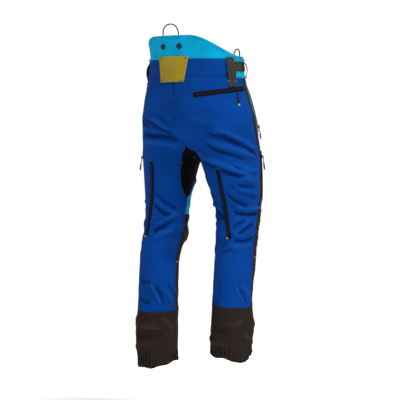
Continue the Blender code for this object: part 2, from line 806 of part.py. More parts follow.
def slider_mesh(turn):
    """A zip slider: a bevelled block with a bridge over the pull's crossbar.

    Its origin is the middle of the crossbar, y runs along the bridge and z points out.
    The block is turned under the bridge so that it follows the zip while the pull hangs plumb.
    """
    width, length, height = SLIDER_SIZE
    top = -BRIDGE_HEIGHT / 2
    block = box("slider_block", (width, length, height), (0.0, 0.0, top - height / 2))
    block.data.transform(Matrix.Rotation(turn, 4, "Z"))
    rounded = block.modifiers.new("rounded", "BEVEL")
    rounded.width = SLIDER_BEVEL
    rounded.segments = 1
    rise = BRIDGE_HEIGHT + BRIDGE_BAR
    post = (BRIDGE_WIDTH, BRIDGE_BAR, rise)
    post_y = (BRIDGE_LENGTH - BRIDGE_BAR) / 2
    bar = (BRIDGE_WIDTH, BRIDGE_LENGTH - BRIDGE_BAR, BRIDGE_BAR)
    helpers = [
        box("bridge_post", post, (0.0, -post_y, top + rise / 2 - BRIDGE_BITE)),
        box("bridge_post", post, (0.0, post_y, top + rise / 2 - BRIDGE_BITE)),
        box("bridge_bar", bar, (0.0, 0.0, top + rise - BRIDGE_BAR / 2 - 2 * BRIDGE_BITE)),
    ]
    for helper in helpers:
        joined = block.modifiers.new("joined", "BOOLEAN")
        joined.operation = "UNION"
        joined.object = helper
    mesh = evaluated_mesh(block, "zip_slider")
    for helper in (block, *helpers):
        bpy.data.objects.remove(helper, do_unlink=True)
    return mesh


def evaluated_mesh(obj, name):
    bpy.context.view_layer.update()
    graph = bpy.context.evaluated_depsgraph_get()
    mesh = bpy.data.meshes.new_from_object(obj.evaluated_get(graph))
    mesh.name = name
    return mesh


def pull_mesh(length, grip_width):
    """A zip pull: eye with a crossbar at its origin, thin neck, wide rounded grip below."""
    eye, eye_top, eye_bottom = PULL_EYE
    neck, neck_top = PULL_NECK
    half = grip_width / 2
    grip_top = -length * GRIP_START
    right = [
        (eye, eye_top),
        (eye, eye_bottom),
        (neck, neck_top),
        (neck, grip_top + GRIP_SHOULDER[0]),
        (half, grip_top - GRIP_SHOULDER[1]),
        (half, -length + half),
        (half * 0.62, -length + half * 0.25),
        (0.0, -length),
    ]
    left = [(-x, y) for x, y in right[-2::-1]]
    inner, hole_top, hole_bottom = PULL_HOLE
    hole = ((inner, hole_top), (inner, hole_bottom), (-inner, hole_bottom), (-inner, hole_top))
    curve = bpy.data.curves.new("zip_pull_outline", "CURVE")
    curve.dimensions = "2D"
    curve.fill_mode = "BOTH"
    curve.extrude = PULL_THICKNESS / 2
    for outline in (right + left, hole):
        spline = curve.splines.new("POLY")
        spline.points.add(len(outline) - 1)
        spline.use_cyclic_u = True
        for point, (x, y) in zip(spline.points, outline):
            point.co = (x, y, 0.0, 1.0)
    guide = bpy.data.objects.new("zip_pull_guide", curve)
    HELPERS.objects.link(guide)
    guide.hide_render = True
    mesh = evaluated_mesh(guide, "zip_pull")
    bpy.data.objects.remove(guide, do_unlink=True)
    bm = bmesh.new()
    bm.from_mesh(mesh)
    bmesh.ops.remove_doubles(bm, verts=bm.verts, dist=SAME_POINT)
    bm.to_mesh(mesh)
    bm.free()
    return mesh


def zip_set(name, track, rest, pull):
    """Tape, slider and pull of one zip, with the slider at its rest place on the line."""
    zip_tape(f"{name}_zip", track)
    point, along, out = zip_place(track, rest)
    down = Vector((0.0, 0.0, -1.0))
    down = (down - out * down.dot(out)).normalized()
    lift = SLIDER_LIFT - TAPE_LIFT + SLIDER_SIZE[2] + BRIDGE_HEIGHT / 2
    across = out.cross(down)
    turn = math.atan2(out.dot(down.cross(along)), down.dot(along))
    placed = axes_matrix(point + out * lift, across, -down, out)
    centre = track["arc"][0]
    pivot = bpy.data.objects.new(f"{name}_arc_centre", None)
    PARTS.objects.link(pivot)
    pivot.location = centre
    slider = add_object(f"{name}_slider", slider_mesh(turn), METAL, 0.35, 0.9)
    slider.parent = pivot
    slider.location = placed.translation - centre
    slider.rotation_euler = placed.to_euler()
    hanging = add_object(f"{name}_pull", pull.copy(), BLACK, 0.5)
    hanging.parent = slider
    hanging.rotation_euler = plumb(placed).to_euler()


def plumb(placed):
    """The turn about a slider's crossbar that makes its pull hang straight down."""
    tilt = math.atan2(placed.col[1][2], placed.col[2][2]) - math.pi / 2
    return Matrix.Rotation(tilt, 3, "X")


def zips():
    for name, (side, places, rest) in ZIPS.items():
        zip_set(name, zip_track(side, places), rest, pull_mesh(*PULL_SIZES[name.split("_")[0]]))


def main():
    waist_pieces()
    for side in SIDES:
        back_panel(side)
        side_strip(side)
        front_panels(side)
        saw_pad(side)
        cuff(side)
    gusset()
    back_patch()
    belt_loops()
    side_adjusters()
    waist_tab()
    brace_buttons()
    cord_loops()
    zips()


clear_scene()
PARTS = new_collection(COLLECTION)
HELPERS = new_collection("cutters")
main()
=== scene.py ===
"""The looks of the chainsaw protective trousers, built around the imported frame.

Frame: metres, +Z up, origin at the centre of the waist opening at the waist line.
The wearer faces -Y, so +X is the wearer's left and +Y is the back. Bearings are degrees round a
leg's own centre, from straight back towards its outer side. Waist angles run from the back towards
the wearer's left. The body form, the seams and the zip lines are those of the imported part.
"""

import json
import math

import bpy
import numpy as np
from mathutils import Matrix, Vector, noise


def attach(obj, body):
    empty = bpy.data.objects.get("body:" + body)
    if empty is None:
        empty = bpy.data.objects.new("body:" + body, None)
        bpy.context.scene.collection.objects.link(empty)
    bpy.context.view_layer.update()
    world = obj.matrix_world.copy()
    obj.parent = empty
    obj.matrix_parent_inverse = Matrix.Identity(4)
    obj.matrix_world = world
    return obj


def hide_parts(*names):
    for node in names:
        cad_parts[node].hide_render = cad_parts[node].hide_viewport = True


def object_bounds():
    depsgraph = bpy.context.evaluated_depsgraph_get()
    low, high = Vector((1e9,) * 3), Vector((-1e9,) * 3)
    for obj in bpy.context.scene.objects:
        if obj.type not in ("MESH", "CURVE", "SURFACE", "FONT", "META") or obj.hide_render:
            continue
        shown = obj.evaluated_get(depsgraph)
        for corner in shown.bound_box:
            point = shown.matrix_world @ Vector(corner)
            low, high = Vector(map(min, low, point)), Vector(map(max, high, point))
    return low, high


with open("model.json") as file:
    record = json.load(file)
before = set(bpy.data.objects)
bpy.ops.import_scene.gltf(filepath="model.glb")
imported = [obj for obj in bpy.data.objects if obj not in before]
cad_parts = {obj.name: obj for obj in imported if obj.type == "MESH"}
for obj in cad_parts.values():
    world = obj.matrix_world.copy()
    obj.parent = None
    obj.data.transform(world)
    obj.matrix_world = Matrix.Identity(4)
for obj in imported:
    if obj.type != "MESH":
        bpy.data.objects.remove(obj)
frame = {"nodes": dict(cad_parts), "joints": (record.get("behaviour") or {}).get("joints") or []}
CAD_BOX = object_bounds()
ROOT = "trousers"
SIDES = {"left": 1.0, "right": -1.0}
MM = 1000.0
UP = Vector((0.0, 0.0, 1.0))

# Body form: height, centre x, centre y, half width along x, half depth along y.
PELVIS = (
    (0.10, 0.000, 0.002, 0.187, 0.153),
    (0.00, 0.000, 0.000, 0.178, 0.143),
    (-0.06, -0.001, 0.000, 0.183, 0.147),
    (-0.12, -0.002, -0.001, 0.192, 0.154),
    (-0.18, -0.005, -0.004, 0.201, 0.160),
    (-0.24, -0.007, -0.008, 0.203, 0.164),
    (-0.34, -0.008, -0.012, 0.200, 0.165),
)
LEGS = {
    "left": (
        (0.00, 0.088, 0.000, 0.040, 0.060),
        (-0.14, 0.098, 0.000, 0.078, 0.104),
        (-0.22, 0.106, -0.002, 0.101, 0.118),
        (-0.30, 0.109, 0.000, 0.103, 0.110),
        (-0.36, 0.110, 0.000, 0.103, 0.104),
        (-0.43, 0.119, -0.002, 0.090, 0.094),
        (-0.52, 0.123, 0.006, 0.079, 0.081),
        (-0.61, 0.130, 0.012, 0.078, 0.080),
        (-0.70, 0.144, 0.024, 0.072, 0.074),
        (-0.80, 0.149, 0.027, 0.072, 0.073),
        (-0.90, 0.151, 0.028, 0.074, 0.075),
        (-0.98, 0.155, 0.029, 0.077, 0.077),
        (-1.04, 0.154, 0.029, 0.075, 0.075),
        (-1.12, 0.152, 0.029, 0.067, 0.068),
    ),
    "right": (
        (0.00, -0.088, 0.000, 0.040, 0.060),
        (-0.14, -0.100, -0.006, 0.078, 0.104),
        (-0.22, -0.110, -0.018, 0.103, 0.121),
        (-0.30, -0.118, -0.034, 0.107, 0.116),
        (-0.36, -0.121, -0.044, 0.108, 0.110),
        (-0.43, -0.130, -0.049, 0.099, 0.101),
        (-0.53, -0.146, -0.051, 0.083, 0.084),
        (-0.62, -0.149, -0.040, 0.076, 0.077),
        (-0.75, -0.151, -0.020, 0.074, 0.074),
        (-0.87, -0.153, -0.004, 0.072, 0.072),
        (-0.96, -0.154, -0.002, 0.077, 0.078),
        (-1.02, -0.152, 0.004, 0.074, 0.074),
        (-1.10, -0.151, 0.008, 0.067, 0.068),
    ),
}
SEAT_TOP = -0.15
SEAT_DEPTH = 0.185
BLEND = 0.045
SEAM_X = -0.004
CROTCH_SEARCH = (-0.45, -0.30)
INSEAM_BEARING = -92.0
INSEAM_SETTLES = 0.08
GUSSET_OPENS = 0.022
RAY_LENGTH = 0.4

# Cloth.
SEAM_GAP = 0.0004
PAD_SINK = 0.0062
PAD_THICKNESS = 0.006

# Heights of the main seams.
BAND_BOTTOM = -0.067
FRONT_TOP = 0.009
YOKE_RISE = 0.073
YOKE_FADE = {"left": (115.0, 80.0), "right": (95.0, 70.0)}
GUSSET_TOP = -0.309
GUSSET_TIP = -0.494
GUSSET_EDGE = {
    "left": (
        (-0.309, -54.0), (-0.335, -55.0), (-0.380, -56.0),
        (-0.430, -61.0), (-0.473, -75.0), (-0.494, -92.0),
    ),
    "right": (
        (-0.309, -44.0), (-0.335, -43.0), (-0.380, -50.0),
        (-0.430, -58.0), (-0.473, -75.0), (-0.494, -92.0),
    ),
}
KNEE_TOP = -0.553
CUFF_TOP = {"left": -0.905, "right": -0.883}
HEM = {"left": -1.106, "right": -1.080}
PAD_TOP = -0.085
PAD_ABOVE_HEM = 0.05

# Bearings, in degrees from the straight back towards the outer side.
STRIP_BACK = 103.0
STRIP_FRONT = 125.0
YOKE_END = 73.0
SIDE_END = 118.0
FLY_GAP = 1.2

# Waist fittings: angle round the waist, width, then height and stand-off of each point.
LOOP_ANGLE = 77.0
LOOP_WIDTH = 0.031
LOOP_LINE = (
    (0.006, 0.0026), (-0.006, 0.0024), (-0.018, 0.0095), (-0.028, 0.0148),
    (-0.048, 0.0148), (-0.061, 0.0085), (-0.076, 0.0018), (-0.088, 0.0012), (-0.100, 0.0022),
)
FRONT_LOOP_ANGLE = 118.0
FRONT_LOOP_WIDTH = 0.020
FRONT_LOOP_LINE = (
    (0.004, 0.0016), (-0.006, 0.0020), (-0.014, 0.0090), (-0.024, 0.0140),
    (-0.040, 0.0140), (-0.050, 0.0080), (-0.058, 0.0022), (-0.066, 0.0016),
)
WEBBING = 0.002
WAIST_RADIUS = 0.165
TRIM_LIFT = 0.0013
PATCH_CENTRE = 2.0
PATCH_TOP = (0.009, 26.0)
PATCH_BOTTOM = (-0.083, 19.5)
ADJUSTER_ANGLES = (84.5, 108.0)
ADJUSTER_HEIGHTS = (-0.043, -0.009)
TAB_ANGLES = (173.0, 188.0)
TAB_HEIGHTS = (-0.050, -0.008)
CORD_RADIUS = 0.0022
CORD_SINK = 0.0052
CORD_TUCK = 0.010
# Each cord loop: middle angle, half angle and rise. Its arch: share of the half angle and of the rise.
CORD_LOOPS = {
    "cord_loop_back": (4.0, 13.5, 0.042),
    "cord_loop_left": (92.0, 6.5, 0.026),
    "cord_loop_right": (-92.0, 6.5, 0.026),
}
CORD_ARCH = ((-1.0, 0.0), (-0.94, 0.46), (-0.60, 0.86), (0.0, 1.0), (0.60, 0.86), (0.94, 0.46), (1.0, 0.0))

BUTTON_DEPTH = 0.0036
BUTTON_LIFT = 0.0012
BUTTON_DISH = BUTTON_DEPTH * 0.72 + 0.0003
BUTTON_HOLE = 0.0005
THREAD_REACH = 0.0024
BACK_BUTTONS = {"left": 17.5, "right": -10.5}
BACK_BUTTON_Z = 0.044
FRONT_BUTTON_ANGLE = 150.0
FRONT_BUTTON_Z = -0.020

# Zips.
TAPE_LIFT = 0.0021
TAPE_THICKNESS = 0.0012
TAPE_WIDTH = 0.011

# Each zip: its leg, three places (bearing, height, extra lift) and the slider's share.
ZIPS = {
    "back_pocket": ("right", ((-3.0, -0.129, 0.0), (42.0, -0.1165, 0.0), (92.0, -0.106, 0.0)), 0.82),
    "vent_left": ("left", ((9.0, -0.37, 0.0005), (10.0, -0.499, 0.0005), (18.0, -0.628, 0.0005)), 0.93),
    "vent_right": ("right", ((4.0, -0.402, 0.0015), (1.0, -0.512, 0.0025), (13.0, -0.632, 0.0)), 0.93),
    "thigh_left": ("left", ((66.0, -0.335, 0.0), (66.0, -0.415, 0.0), (66.0, -0.495, 0.0)), 0.07),
    "thigh_right": ("right", ((117.0, -0.335, 0.0), (117.0, -0.415, 0.0), (117.0, -0.495, 0.0)), 0.07),
    "hand_left": ("left", ((150.0, -0.10, 0.0), (137.0, -0.175, 0.0), (127.5, -0.25, 0.0005)), 0.93),
    "hand_right": ("right", ((150.0, -0.10, 0.0), (137.0, -0.175, 0.0), (127.5, -0.25, 0.0005)), 0.93),
    "fly": ("left", ((213.1, -0.074, 0.0005), (212.9, -0.155, 0.001), (215.6, -0.225, 0.0015)), 0.06),
}
# Length and grip width of the pull on each kind of zip.
PULL_SIZES = {
    "back": (0.060, 0.0090),
    "vent": (0.026, 0.0065),
    "thigh": (0.050, 0.0075),
    "hand": (0.048, 0.0075),
    "fly": (0.020, 0.0065),
}

# Waist and trim detail.
WAIST_WAVE = 0.0006
BINDING_RADIUS = 0.0016
PATCH_BULGE = 0.0012
PATCH_STITCH = TRIM_LIFT + WEBBING + 0.0005
BOX_STITCH = (7.5, -0.058, -0.012)
STITCH_SHARE = 0.68
STITCH_RADIUS = 0.00034
STITCH_LIFT = 0.0003
WEBBING_ROWS = 40
LOOP_PRESS = 0.70
HOOK_PAD_START = 99.0
TACK_PITCH = 0.0009
TACK_THREAD = 0.0007
KNEE_LOW = -0.725
CALF_SEAM = -8.0
PATCH_TACKS = ((21.5, 0.003), (16.2, -0.0775))

# Cuffs and pads.
CUFF_TURNS = 132
CUFF_WOBBLE = 0.003
# How far the cuff seam rises at each bearing, and how far up and down the leg that reaches.
CUFF_SWING = {
    "left": (
        (-98.0, 0.003), (-60.0, 0.001), (-24.0, -0.002), (4.0, 0.0),
        (52.0, 0.010), (120.0, 0.004), (200.0, 0.0),
    ),
    "right": (
        (-56.0, 0.013), (3.0, 0.001), (33.0, -0.002), (62.0, -0.002), (122.0, 0.001), (200.0, 0.0),
    ),
}
CUFF_SWING_REACH = 0.06
# How far the side strip's rear seam comes round to the back below the knee, in degrees.
STRIP_SHIFT = ((-0.067, 0.0), (-0.46, 0.0), (-0.55, -8.0), (-0.70, -9.0), (-0.83, -3.0), (-0.91, 0.0))
# How far the hem rises at each bearing.
HEM_RISE = {
    "left": (
        (-111.0, 0.024), (-55.0, 0.012), (-20.0, -0.001), (13.0, -0.004),
        (45.0, 0.002), (120.0, 0.012), (200.0, 0.024),
    ),
    "right": (
        (-55.0, 0.034), (-3.0, 0.016), (38.0, 0.006), (65.0, 0.0),
        (90.0, 0.010), (121.0, 0.032), (200.0, 0.030),
    ),
}
CASING_HEIGHT = 0.020
CASING_RISE = 0.0012
CASING_STITCH = 0.0014
GATHERS = 34.0
GATHER_DEPTH = 0.0042
PAD_COLUMNS = 40
PAD_MARGINS = (3.0, 7.0)
PAD_ROW = 0.06
PAD_QUILT = 0.0012
PAD_SPARE = 0.0014

# Zip detail: half width of each welt, and the coil between its lips.
WELTS = {"back_pocket": 0.0092, "vent_left": 0.0074, "vent_right": 0.0078}
WELTS |= {name: 0.0062 for name in ("thigh_left", "thigh_right", "hand_left", "hand_right")}
WELT_END = 0.009
PULL_LEAN = -7.0
PULL_CORD = 0.0009
WELT_LIP = 0.0054
WELT_RISE = 0.0026
WELT_BASE = -0.0011
WELT_THICKNESS = 0.0008
COIL_PITCH = 0.0016
COIL_LIFT = 0.0001
COIL_HALF = 0.0017
COIL_WIRE = 0.00045

# Stage.
CAMERA_PLACE = (-5.7358, 8.1915, -0.502)
CAMERA_TURN = 215.0
CAMERA_LENS = 250.0
CAMERA_SHIFT = 0.0085
WORLD_LIGHT = 0.48
FLOOR_DROP = 0.16
FLOOR_RADIUS = 26.0
DOME_RADIUS = 26.0
SUN_PLACE = (-1.10, 0.36, 1.75)
SUN_STRENGTH = 2.9
SUN_SPREAD = 22.0
FRONT_LIGHT = ((1.6, -3.4, 1.2), 2.4, 40.0)

# Cloth detail.
LEG_RADIUS = 0.10
FOLD_STEPS = 9
FOLD_FADE = 0.17
MOST_RELIEF = 0.0095
FOLD_GAIN = 1.35
CUFF_GAIN = 0.50
# Fold relief at which the painted shade in creases and the painted highlight on ridges are full.
PAINTED_FOLD_LIGHT_RELIEF = 0.0062
FOLD_WIDTH = 0.80
BAND_FADE = 0.05
ZIP_FLAT = 0.007
ZIP_FADE = 0.016
SHELL = 0.0012
GRID = 0.0046
SEAM_DROP = 0.0009
SEAM_LAP = 0.0007
SEAM_LAP_DEG = 0.5
SEAM_ROLL = 0.0032
PUCKER = 0.00055
PUCKER_REACH = 0.008
PUCKER_PITCH = 0.0125

# Height and amount of the irregular fullness of the legs.
FULLNESS = (
    (-0.067, 0.0008), (-0.20, 0.0012), (-0.34, 0.0020), (-0.45, 0.0024), (-0.56, 0.0052),
    (-0.66, 0.0036), (-0.78, 0.0018), (-0.88, 0.0026), (-0.94, 0.0034), (-1.10, 0.0036),
)

# Folds of each leg: places as (bearing, height in mm), half width in mm and rise in mm.
FOLDS = {
    "left": (
        (((34, -262), (0, -272), (-26, -277), (-49, -294)), 8, -7.8),
        (((40, -284), (4, -292), (-24, -298), (-50, -316)), 13, 6),
        (((34, -240), (6, -246), (-16, -256)), 10, 4),
        (((34, -206), (8, -222), (-18, -250), (-40, -274)), 8, -5),
        (((40, -222), (22, -228), (-4, -258)), 6, -4.6),
        (((0, -200), (-14, -222), (-30, -254)), 9, 4.6),
        (((-2, -196), (-24, -214), (-38, -246)), 8, -2.6),
        (((4, -474), (-14, -496), (-34, -516), (-68, -538)), 9, -4.6),
        (((2, -492), (-30, -532), (-64, -556)), 10, 4.4),
        (((4, -516), (-24, -548), (-48, -556)), 8, -5),
        (((-4, -600), (-24, -582), (-46, -564), (-76, -542)), 9, 5.8),
        (((-8, -610), (-28, -598), (-60, -576)), 8, -4.4),
        (((-4, -624), (-17, -606), (-44, -600)), 8, -5.6),
        (((-6, -640), (-30, -622), (-64, -612)), 10, 4),
        (((-10, -798), (-26, -838), (-44, -880)), 8, 4.8),
        (((-44, -816), (-62, -844), (-80, -874)), 8, 4.4),
        (((-26, -806), (-42, -846), (-58, -892)), 7, -4.6),
        (((-62, -800), (-78, -830), (-92, -850)), 7, -3.4),
        (((40, -852), (10, -866), (-14, -876)), 9, -4),
        (((44, -786), (10, -798), (-18, -803)), 10, -3),
        (((70, -560), (45, -572), (26, -590)), 9, -4),
        (((90, -470), (60, -500), (34, -512)), 10, 3.8),
        (((195, -628), (232, -630), (270, -628)), 34, 8.5),
        (((235, -590), (200, -602), (160, -590)), 10, -5.4),
        (((250, -420), (222, -440), (185, -470)), 12, 4.6),
        (((150, -640), (185, -652), (230, -640)), 11, 4.6),
        (((225, -260), (200, -300), (165, -330)), 13, 4),
        (((160, -830), (200, -850), (240, -870)), 10, -4.4),
        (((40, -935), (0, -960), (-50, -965)), 12, 7),
        (((30, -985), (-10, -1000), (-70, -985)), 11, -6),
        (((60, -1040), (20, -1020), (-30, -1035)), 12, 6),
        (((-40, -925), (-70, -950), (-100, -1000)), 11, 6),
        (((50, -915), (70, -960), (110, -990)), 12, 6),
    ),
    "right": (
        (((-45, -325), (-22, -350), (4, -369), (40, -397), (92, -414)), 13, 7.5),
        (((-42, -355), (-10, -380), (15, -396), (38, -412), (60, -424)), 9, -6),
        (((10, -243), (48, -279), (97, -328)), 10, 4.8),
        (((16, -262), (53, -301), (99, -350)), 8, -5),
        (((-4, -264), (25, -282), (60, -318)), 8, -4.6),
        (((-10, -281), (16, -304), (60, -334), (95, -352)), 9, 5.6),
        (((-14, -298), (9, -326), (36, -342), (70, -364)), 8, -5.5),
        (((30, -366), (61, -388), (98, -398)), 8, 4.4),
        (((36, -384), (60, -404), (94, -414)), 7, -4.6),
        (((42, -424), (70, -430), (97, -437)), 8, 4.6),
        (((36, -448), (60, -455), (88, -454)), 8, -4.4),
        (((20, -446), (47, -482), (92, -498)), 8, -4.2),
        (((28, -462), (55, -470), (90, -478)), 8, 3.6),
        (((8, -478), (30, -508), (64, -539)), 9, -4.8),
        (((24, -522), (55, -534), (96, -532)), 10, 6),
        (((16, -545), (54, -554), (100, -551)), 7, -7.5),
        (((22, -632), (40, -608), (58, -586), (84, -558)), 6, 6.2),
        (((18, -606), (36, -588), (58, -574)), 8, -5),
        (((34, -628), (56, -606), (84, -584)), 8, -4.4),
        (((-50, -534), (-22, -548), (2, -574)), 9, -6),
        (((-60, -515), (-30, -524), (-6, -540)), 10, 4.6),
        (((-70, -575), (-40, -572), (-12, -566)), 8, -4),
        (((-6, -634), (22, -644), (60, -650), (98, -630)), 8, -6.4),
        (((-4, -616), (24, -626), (54, -632)), 7, 3.4),
        (((0, -664), (40, -668), (90, -655)), 13, 4),
        (((24, -676), (8, -684), (-10, -694)), 7, -3.4),
        (((36, -806), (52, -836), (72, -872)), 8, 4),
        (((56, -806), (76, -830), (101, -862)), 8, 4),
        (((48, -812), (64, -842), (86, -874)), 6, -3.4),
        (((-60, -846), (-34, -856), (-12, -872)), 9, -3.4),
        (((-20, -205), (4, -226), (34, -236)), 12, 2.6),
        (((-70, -430), (-50, -470), (-30, -500)), 10, -3.4),
        (((230, -545), (200, -560), (165, -545)), 12, 6),
        (((235, -575), (200, -588), (160, -575)), 10, -5.4),
        (((250, -420), (222, -440), (185, -470)), 12, 4.6),
        (((150, -630), (185, -642), (230, -630)), 11, 4.6),
        (((225, -260), (200, -300), (165, -330)), 13, 4),
        (((160, -820), (200, -840), (240, -860)), 10, -4.4),
        (((70, -925), (40, -945), (0, -940)), 12, 6),
        (((-40, -930), (-10, -965), (40, -985)), 11, -6),
        (((-60, -985), (-20, -1010), (30, -1020)), 12, 6.6),
        (((60, -970), (90, -1000), (130, -1010)), 12, 6.2),
        (((100, -920), (130, -945), (170, -940)), 12, 5.6),
    ),
}

# ---------------------------------------------------------------- body form


def axes_matrix(origin, across, along, normal):
    """A matrix whose x, y and z axes are the three directions, at the origin given."""
    return Matrix.Translation(origin) @ Matrix((across, along, normal)).transposed().to_4x4()


def between(stations, height):
    """Smooth values between stations, as a cubic through them."""
    table = np.array(sorted(stations))
    heights = table[:, 0]
    values = table[:, 1:]
    height = np.clip(np.asarray(height, float), heights[0], heights[-1])
    steps = np.diff(heights)
    slopes = np.diff(values, axis=0) / steps[:, None]
    weighted = slopes[:-1] * steps[1:, None] + slopes[1:] * steps[:-1, None]
    middle = weighted / (steps[:-1] + steps[1:])[:, None]
    slope = np.vstack([slopes[0], middle, slopes[-1]])
    index = np.clip(np.searchsorted(heights, height) - 1, 0, len(steps) - 1)
    t = ((height - heights[index]) / steps[index])[..., None]
    step = steps[index][..., None]
    result = values[index] * (1 + 2 * t) * (1 - t) ** 2
    result = result + slope[index] * step * t * (1 - t) ** 2
    result = result + values[index + 1] * t * t * (3 - 2 * t)
    result = result + slope[index + 1] * step * t * t * (t - 1)
    return np.moveaxis(result, -1, 0)


def ease(value):
    """A smooth step: 0 up to 0, 1 from 1 on."""
    value = np.clip(value, 0.0, 1.0)
    return value * value * (3.0 - 2.0 * value)


def tube(stations, x, y, z, floor=-9.0, depth=1.0):
    """Below zero inside an elliptical tube that closes like an ellipsoid below the floor."""
    centre_x, centre_y, half_x, half_y = between(stations, z)
    sink = np.maximum(0.0, floor - z) / depth
    reach = np.sqrt(((x - centre_x) / half_x) ** 2 + ((y - centre_y) / half_y) ** 2 + sink**2)
    return (reach - 1.0) * np.minimum(half_x, half_y)


def join(first, second):
    share = np.clip(0.5 + 0.5 * (second - first) / BLEND, 0.0, 1.0)
    return second + (first - second) * share - BLEND * share * (1.0 - share)


def body(x, y, z):
    """Below zero inside the trousers: the pelvis and both legs, joined smoothly."""
    legs = join(tube(LEGS["left"], x, y, z), tube(LEGS["right"], x, y, z))
    return join(legs, tube(PELVIS, x, y, z, SEAT_TOP, SEAT_DEPTH))


def bisect(inside, outside, is_inside):
    for _ in range(36):
        middle = (inside + outside) / 2
        hit = is_inside(middle)
        inside = np.where(hit, middle, inside)
        outside = np.where(hit, outside, middle)
    return inside


def find_crotch():
    """Height and y of the lowest point of the body on the seam plane."""
    ys = np.linspace(-0.08, 0.06, 281)

    def lowest(height):
        return body(np.full_like(ys, SEAM_X), ys, np.full_like(ys, float(height)))

    height = float(
        bisect(np.float64(CROTCH_SEARCH[1]), np.float64(CROTCH_SEARCH[0]), lambda z: lowest(z).min() < 0)
    )
    return height, float(ys[lowest(height).argmin()])


def seam_y(height, sign):
    """Where the back (+1) or front (-1) centre seam lies at a height above the crotch."""
    start = CROTCH_Y
    reach = bisect(
        np.zeros_like(height),
        np.full_like(height, 0.25),
        lambda r: body(np.full_like(height, SEAM_X), start + sign * r, height) < 0,
    )
    return start + sign * reach


def bearing_of(side, x, y, height):
    centre_x, centre_y = between(LEGS[side], height)[:2]
    return np.degrees(np.arctan2(SIDES[side] * (x - centre_x), y - centre_y))


def seams(side, height):
    """Bearings of the back and front centre seams, and of the inseam below the crotch."""
    height = np.asarray(height, float)
    above = np.maximum(height, CROTCH_Z)
    back = bearing_of(side, SEAM_X, seam_y(above, 1.0), above)
    front = bearing_of(side, SEAM_X, seam_y(above, -1.0), above) % 360.0
    start = float(bearing_of(side, SEAM_X, CROTCH_Y, CROTCH_Z))
    settled = ease((CROTCH_Z - height) / INSEAM_SETTLES)
    inseam = start + (INSEAM_BEARING - start) * settled
    below = height <= CROTCH_Z
    return np.where(below, inseam, back), np.where(below, inseam + 360.0, front)


def gusset_edge(side, height):
    """Bearings of the gusset's edges on the back and on the front of a leg."""
    height = np.asarray(height, float)
    back, front = seams(side, height)
    target = between(GUSSET_EDGE[side], height)[0]
    share = np.clip((GUSSET_TOP - height) / GUSSET_OPENS, 0.0, 1.0)
    spread = np.maximum((target - back) * share, 0.0)
    spread = np.where(height < GUSSET_TIP, 0.0, spread)
    return back + spread, front - spread


def cast(centre, along, height, limit, lift):
    """Points on the body along level rays from a centre, moved outwards by the lift."""
    reach = bisect(
        np.zeros_like(height),
        limit,
        lambda r: body(centre[0] + along[0] * r, centre[1] + along[1] * r, height) < 0,
    )
    points = np.stack([centre[0] + along[0] * reach, centre[1] + along[1] * reach, height], axis=-1)
    return points + outward(points) * np.asarray(lift)[..., None]


def surface(side, bearing, height, lift=0.0):
    """Points on one leg, at bearings round that leg's own centre, kept on its side of the seam."""
    bearing, height = np.broadcast_arrays(np.asarray(bearing, float), np.asarray(height, float))
    centre = between(LEGS[side], height)[:2]
    along = (SIDES[side] * np.sin(np.radians(bearing)), np.cos(np.radians(bearing)))
    to_seam = (SEAM_X - centre[0]) / np.where(np.abs(along[0]) < 1e-9, 1e-9, along[0])
    limit = np.where(to_seam > 0.0, np.minimum(to_seam, RAY_LENGTH), RAY_LENGTH)
    return cast(centre, along, height, limit, lift)


def waist(angle, height, lift=0.0):
    """Points round the waist: the angle runs from the back towards the wearer's left."""
    angle, height = np.broadcast_arrays(np.asarray(angle, float), np.asarray(height, float))
    centre = between(PELVIS, height)[:2]
    along = (np.sin(np.radians(angle)), np.cos(np.radians(angle)))
    return cast(centre, along, height, np.full_like(height, RAY_LENGTH), lift)


def outward(points):
    """Unit directions that point straight out of the body's surface."""
    step = 0.0005
    x, y, z = np.moveaxis(points, -1, 0)
    slope = np.stack(
        [
            body(x + step, y, z) - body(x - step, y, z),
            body(x, y + step, z) - body(x, y - step, z),
            body(x, y, z + step) - body(x, y, z - step),
        ],
        axis=-1,
    )
    return slope / np.linalg.norm(slope, axis=-1, keepdims=True)


def cloth_frame(place, lift):
    """A frame on the cloth: z points straight out of it, y points up along it."""
    point = Vector(place(lift))
    normal = (Vector(place(lift + 0.01)) - point).normalized()
    across = UP.cross(normal).normalized()
    return axes_matrix(point, across, normal.cross(across), normal)


def waist_frame(angle, height, lift):
    return cloth_frame(lambda rise: waist(angle, height, rise), lift)


def leg_frame(side, bearing, height, lift):
    return cloth_frame(lambda rise: surface(side, bearing, height, rise), lift)


def yoke_top(angle):
    """The height of the waist's upper edge: high at the back, falling to the front at each side."""
    angle = np.asarray(angle, float)
    (left_end, left_width), (right_end, right_width) = YOKE_FADE["left"], YOKE_FADE["right"]
    share = np.minimum((left_end - angle) / left_width, (right_end + angle) / right_width)
    return FRONT_TOP + YOKE_RISE * ease(share)


CROTCH_Z, CROTCH_Y = find_crotch()


# ---------------------------------------------------------------- zip lines


def arc_through(start, middle, end):
    """Centre, axis and sweep of the circle from start through middle to end."""
    first = middle - start
    second = end - start
    axis = first.cross(second)
    to_centre = (
        axis.cross(first) * second.length_squared + second.cross(axis) * first.length_squared
    ) / (2.0 * axis.length_squared)
    centre = start + to_centre
    axis.normalize()
    spoke = start - centre
    last = end - centre
    sweep = math.atan2(axis.dot(spoke.cross(last)), spoke.dot(last))
    return centre, axis, sweep


def zip_place(track, share):
    """Point on a zip's line, its running direction and its outward direction."""
    centre, axis, sweep = track["arc"]
    turn = Matrix.Rotation(sweep * share, 3, axis)
    spoke = turn @ (track["start"] - centre)
    return centre + spoke, axis.cross(spoke).normalized(), turn @ track["normal"]


